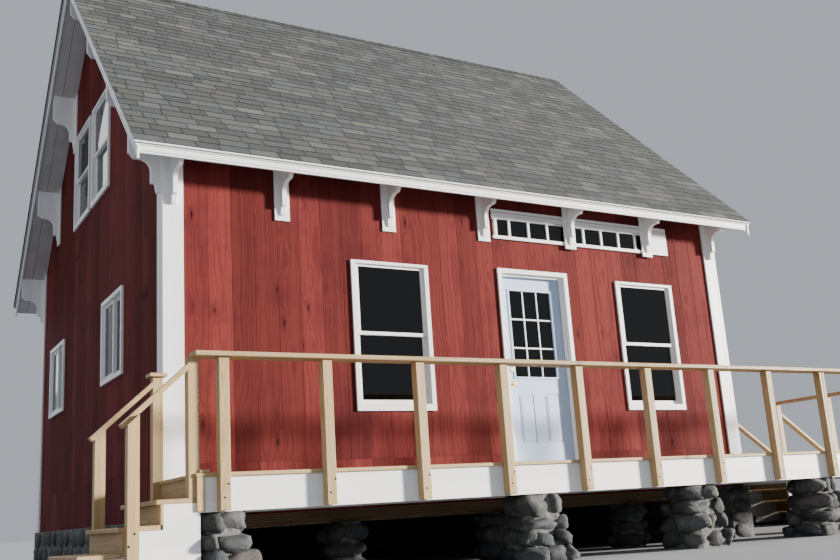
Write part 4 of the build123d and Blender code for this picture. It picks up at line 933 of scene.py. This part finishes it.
def footing_face():
    """Flat rubble set in the outer faces of the stone footing."""
    pile = Pile(35)
    r = pile.rand
    (x0, y0, _), (x1, y1, top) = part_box("foundation_walls")
    runs = (((x0 + 0.35, y0), (x0, y0)), ((x0, y0), (x0, y1)), ((x0, y1), (x1, y1)), ((x1, y1), (x1, y0)),
            ((x1, y0), (x1 - 0.35, y0)))
    for (ax, ay), (bx, by) in runs:
        length = abs(bx - ax) + abs(by - ay)
        ux, uy = (bx - ax) / length, (by - ay) / length
        z = 0.0
        while z < top - 0.02:
            tall = r.uniform(0.13, 0.23)
            if top - z - tall < 0.1:
                tall = top - z
            t = r.uniform(-0.04, 0.0)
            while t < length:
                long = min(r.uniform(0.26, 0.62), length - t)
                if long > 0.08 and t > -0.05:
                    c = max(long / 2, t + long / 2)
                    rx, ry = (long * 0.5, 0.05) if abs(ux) > 0.5 else (0.05, long * 0.5)
                    rock(pile, (ax + ux * c + uy * 0.012, ay + uy * c - ux * 0.012, z + tall / 2),
                         (rx, ry, tall * 0.51), 9000 + len(pile.points), 2, top=top)
                t += long
            z += tall
    pile.make("footing_stones", MAT["rock"], "fieldstone", smooth=True)


def bones():
    """Rails, posts, treads and boards as separate planed pieces with eased edges."""
    jobs = (
        ("rail_posts", "deck_posts", 2, 0.004, "pine", "pine", 41),
        ("deck_planks", "deck_boards", 0, 0.004, "pine", "pine", 42),
        ("stair_planks", "stair_treads", 1, 0.005, "pine", "pine", 43),
        ("riser_boards", "stair_risers", 1, 0.002, "pine", "pine", 44),
        # The rough pieces under the deck and the floor take the darker lumber: painted shade.
        ("sleepers", "stair_sleepers", 0, 0.003, "rough_own_shaded", "rough_timber", 45),
        ("joists_under_deck", "deck_joists", 1, 0.003, "rough_own_shaded", "rough_timber", 46),
        ("joists_under_floor", "floor_joists", 1, 0.003, "rough_own_shaded", "rough_timber", 47),
        ("beams_under_floor", "floor_beams", 0, 0.004, "rough_own_shaded", "rough_timber", 48),
    )
    for name, node, along, edge, material, slot, seed in jobs:
        pile = Pile(seed)
        for low, high in solids(node):
            pile.block(low, high, along=along, edge=edge)
        if node == "stair_risers":
            rim_end(pile)
        pile.make(name, MAT[material], slot, replaces=[node])
    caps = Pile(49)
    low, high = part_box("rail_cap")
    wide = high.x - (DECK_RIGHT - 0.062)
    caps.block(low, (high.x, low.y + wide, high.z), along=0, edge=0.005)
    caps.block((high.x - wide, low.y + wide + 0.0015, low.z), high, along=1, edge=0.005)
    caps.make("rail_cap_planks", MAT["pine"], "pine", replaces=["rail_cap"])
    rear = Pile(50)
    rear.block(*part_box("rear_rail_cap"), along=0, edge=0.005)
    rear.make("rear_rail_cap_plank", MAT["pine"], "pine", replaces=["rear_rail_cap"])


RIM_STRIP_TOP = 0.9175
OFFCUT_Y = (-4.438, -4.352)


def rim_end(pile):
    """A pine strip nailed over the rim's end at the stair, and the offcut left lying on the deck."""
    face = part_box("deck_rim")[0]
    strip_low = (face.x - 0.031, face.y - 0.0195, face.z + 0.008)
    strip_high = (face.x + 0.033, face.y - 0.0005, RIM_STRIP_TOP)
    pile.block(strip_low, strip_high, along=2)
    offcut_low = (face.x - 0.008, OFFCUT_Y[0], DECK + 0.0005)
    offcut_high = (face.x + 0.076, OFFCUT_Y[1], DECK + 0.026)
    pile.block(offcut_low, offcut_high, along=1)


def disc(pile, x, y, z, radius, out, sides=14, domed=0.6):
    """A round head on a face that looks along -y: a rim, then a dome."""
    rings = ((radius, 0.0), (radius, out * (1 - domed)), (radius * 0.72, out * 0.92), (radius * 0.2, out))
    turns = [2 * math.pi * k / sides for k in range(sides)]
    points = [(x + c * math.cos(t), y - n, z + c * math.sin(t)) for c, n in rings for t in turns]
    faces = []
    for r in range(len(rings) - 1):
        for k in range(sides):
            a, b = r * sides + k, r * sides + (k + 1) % sides
            faces.append([a, b, b + sides, a + sides])
    faces += [list(range(sides))[::-1], [(len(rings) - 1) * sides + k for k in range(sides)]]
    pile.put(points, faces)


BOLT, BOLT_OUT = 0.0095, 0.0035  # radius and height of a bolt head
POST_BOLTS = ((0.8, 0.854), (0.36, 0.746))  # share of the post's width, and height
STAIR_BOLTS = ((0.6, 0.517), (0.12, 0.426))
FRONT_ROW = -4.5  # posts whose face lies in front of this take bolts
SUNK = 0.0004  # bolt and screw heads are let in this far


def bolts():
    """Two bolt heads, staggered, through the foot of each rail post into the rim or the string."""
    pile = Pile(51)
    r = pile.rand
    for low, _ in solids("deck_posts"):
        if low[1] < FRONT_ROW:
            for share, z in POST_BOLTS:
                x = low[0] + POST * share + r.uniform(-0.006, 0.006)
                disc(pile, x, low[1] + SUNK, z + r.uniform(-0.008, 0.008), BOLT, BOLT_OUT)
    for low, _ in solids("stair_posts"):
        if low[1] < FRONT_ROW:
            for share, z in STAIR_BOLTS:
                disc(pile, low[0] + POST * share, low[1] + SUNK, z, BOLT, BOLT_OUT)
    pile.make("post_bolts", MAT["steel"], "brass_fittings")


BAR_HALF = 0.0095  # half the width of a bar of the door's light
BAR_PAST = 0.002  # bars run this far past the glass
OFF_GLASS = 0.0004  # bars stand this far off the glass
UPRIGHT_OUT, LEVEL_OUT = 0.013, 0.0122  # how far the bars stand out
SCREW, SCREW_OUT = 0.0042, 0.0016
SCREWS = ((0.373, 1.069), (0.555, 1.091))  # x and height


def door_trim():
    """Bars in front of and behind the door's light, and two screw heads near its foot."""
    (x0, y0, z0), (x1, y1, z1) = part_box("door_glass")
    pile = Pile(52)
    for face, out in ((y0 - OFF_GLASS, -1), (y1 + OFF_GLASS, 1)):
        for k in (1, 2):
            x = x0 + (x1 - x0) * k / 3
            front, back = sorted((face, face + out * UPRIGHT_OUT))
            pile.block((x - BAR_HALF, front, z0 - BAR_PAST), (x + BAR_HALF, back, z1 + BAR_PAST),
                       along=2, edge=0.005)
            z = z0 + (z1 - z0) * k / 3
            front, back = sorted((face, face + out * LEVEL_OUT))
            pile.block((x0 - BAR_PAST, front, z - BAR_HALF), (x1 + BAR_PAST, back, z + BAR_HALF),
                       along=0, edge=0.005)
    pile.make("door_light_bars", MAT["bars"], "door_paint", body="door")
    screws = Pile(53)
    for x, z in SCREWS:
        disc(screws, x, LEAF_FACE + SUNK, z, SCREW, SCREW_OUT)
    screws.make("door_foot_screws", MAT["steel"], "brass_fittings", body="door")


# The blank at the end of the transom lights: its edges in from the frame's right end, and its heights
BLANK_IN, BLANK_Z = (0.25, 0.02), (3.595, 3.862)
BEAD_PAST = 0.007  # the bead runs this far past the blank
BEAD = ((0, 0), (0, 0.003), (0.002, 0.0045), (0.006, 0.0045), (0.008, 0))


def transom_trim():
    """The pale blank panel at the right end of the transom lights, in its own thin bead."""
    pile = Pile(54)
    low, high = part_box("transom_frame")
    left, right = (high.x - c for c in BLANK_IN)
    foot, head = BLANK_Z

    def spot(u, v, out):
        return (u, low.y - out, v)

    pile.skin([[(left, foot), (right, foot), (right, head), (left, head)]], spot,
              lambda u, v: 0.0, 0.0025, along=0)
    rect = (left - BEAD_PAST, right + BEAD_PAST, foot - BEAD_PAST, head + BEAD_PAST)
    pile.loop(spot, rect, BEAD)
    pile.make("transom_blank", MAT["blank"], "window_vinyl")


walls()
roof()
stones()
bones()
bolts()
door_trim()
transom_trim()

# Finishes of the CAD nodes
FINISH = {
    "barge_boards": "barge", "corner_boards": "trim", "eave_fascias": "fascia", "eave_brackets": "trim",
    "gable_brackets": "trim", "deck_rim": "trim_x", "stair_strings": "trim_x", "door_frame": "trim",
    "transom_frame": "transom", "soffits": "soffit", "front_window_frames": "vinyl",
    "gable_window_frames": "vinyl", "rear_window_frames": "vinyl", "front_window_glass": "glass",
    "gable_window_glass": "glass", "rear_window_glass": "glass", "transom_glass": "glass",
    "door_glass": "glass", "door_leaf": "door", "door_lockset": "brass", "door_hinges": "brass",
    "jamb_plates": "brass", "stair_rails": "pine_x", "stair_posts": "pine_z",
    "foundation_walls": "mortar", "upper_floor": "timber_x", "ground_floor": "timber_x",
    "roof_front_slope": "felt", "roof_rear_slope": "felt",
}
for axis in "xyz":
    MAT["pine_" + axis] = wood("pine_members_" + axis, *PINE, along=axis, knots=0.9, **PINE_LOOK)
for name, node in NODES.items():
    is_wall = name.endswith("_wall") or name.startswith("front_wall")
    key = "timber_z" if is_wall else FINISH.get(name)
    if key:
        node.data.materials.clear()
        node.data.materials.append(MAT[key])

# Floor, light and camera
RING = 96
FLOOR_REACH = 900.0
turns = [2 * math.pi * k / RING for k in range(RING)]
floor_mesh = bpy.data.meshes.new("studio_floor")
floor_mesh.from_pydata([(FLOOR_REACH * math.cos(t), FLOOR_REACH * math.sin(t), 0) for t in turns], [],
                       [list(range(RING))])
pale = Shader("studio_floor_paint", Specular_IOR_Level=0.0)
floor_mesh.materials.append(pale.finish(rgb(160, 163, 168), 1.0))
floor = bpy.data.objects.new("studio_floor", floor_mesh)
bpy.context.scene.collection.objects.link(floor)

world = bpy.data.worlds.new("studio")
bpy.context.scene.world = world
world.use_nodes = True
sky = world.node_tree.nodes["Background"]
sky.inputs["Color"].default_value = rgb(208, 213, 222)
sky.inputs["Strength"].default_value = 0.7


def lamp(name, place, spread, strength, colour):
    """A soft light from far off, along the line from place to the middle of the house."""
    light = bpy.data.lights.new(name, "SUN")
    light.angle, light.energy, light.color = math.radians(spread), strength, colour
    made = bpy.data.objects.new(name, light)
    made.location = place
    made.rotation_euler = (-Vector(place)).to_track_quat("-Z", "Y").to_euler()
    bpy.context.scene.collection.objects.link(made)


lamp("key", (31.3, -17.0, 6.6), 6.0, 15.0, (1.0, 0.94, 0.86))
lamp("fill", (-16.0, -10.0, 9.0), 60.0, 0.15, (0.9, 0.95, 1.0))
lamp("rear", (6.0, 20.0, 9.0), 60.0, 1.4, (0.95, 0.97, 1.0))

# The camera was fitted to edges read from the photograph
camera = bpy.data.objects.new("camera", bpy.data.cameras.new("camera"))
camera.data.lens, camera.data.sensor_width = 41.84, 36.0
camera.location = (-6.1743, -12.0715, 0.5199)
camera.rotation_euler = [math.radians(a) for a in (103.531, 3.6332, -30.0638)]
bpy.context.scene.collection.objects.link(camera)
bpy.context.scene.camera = camera
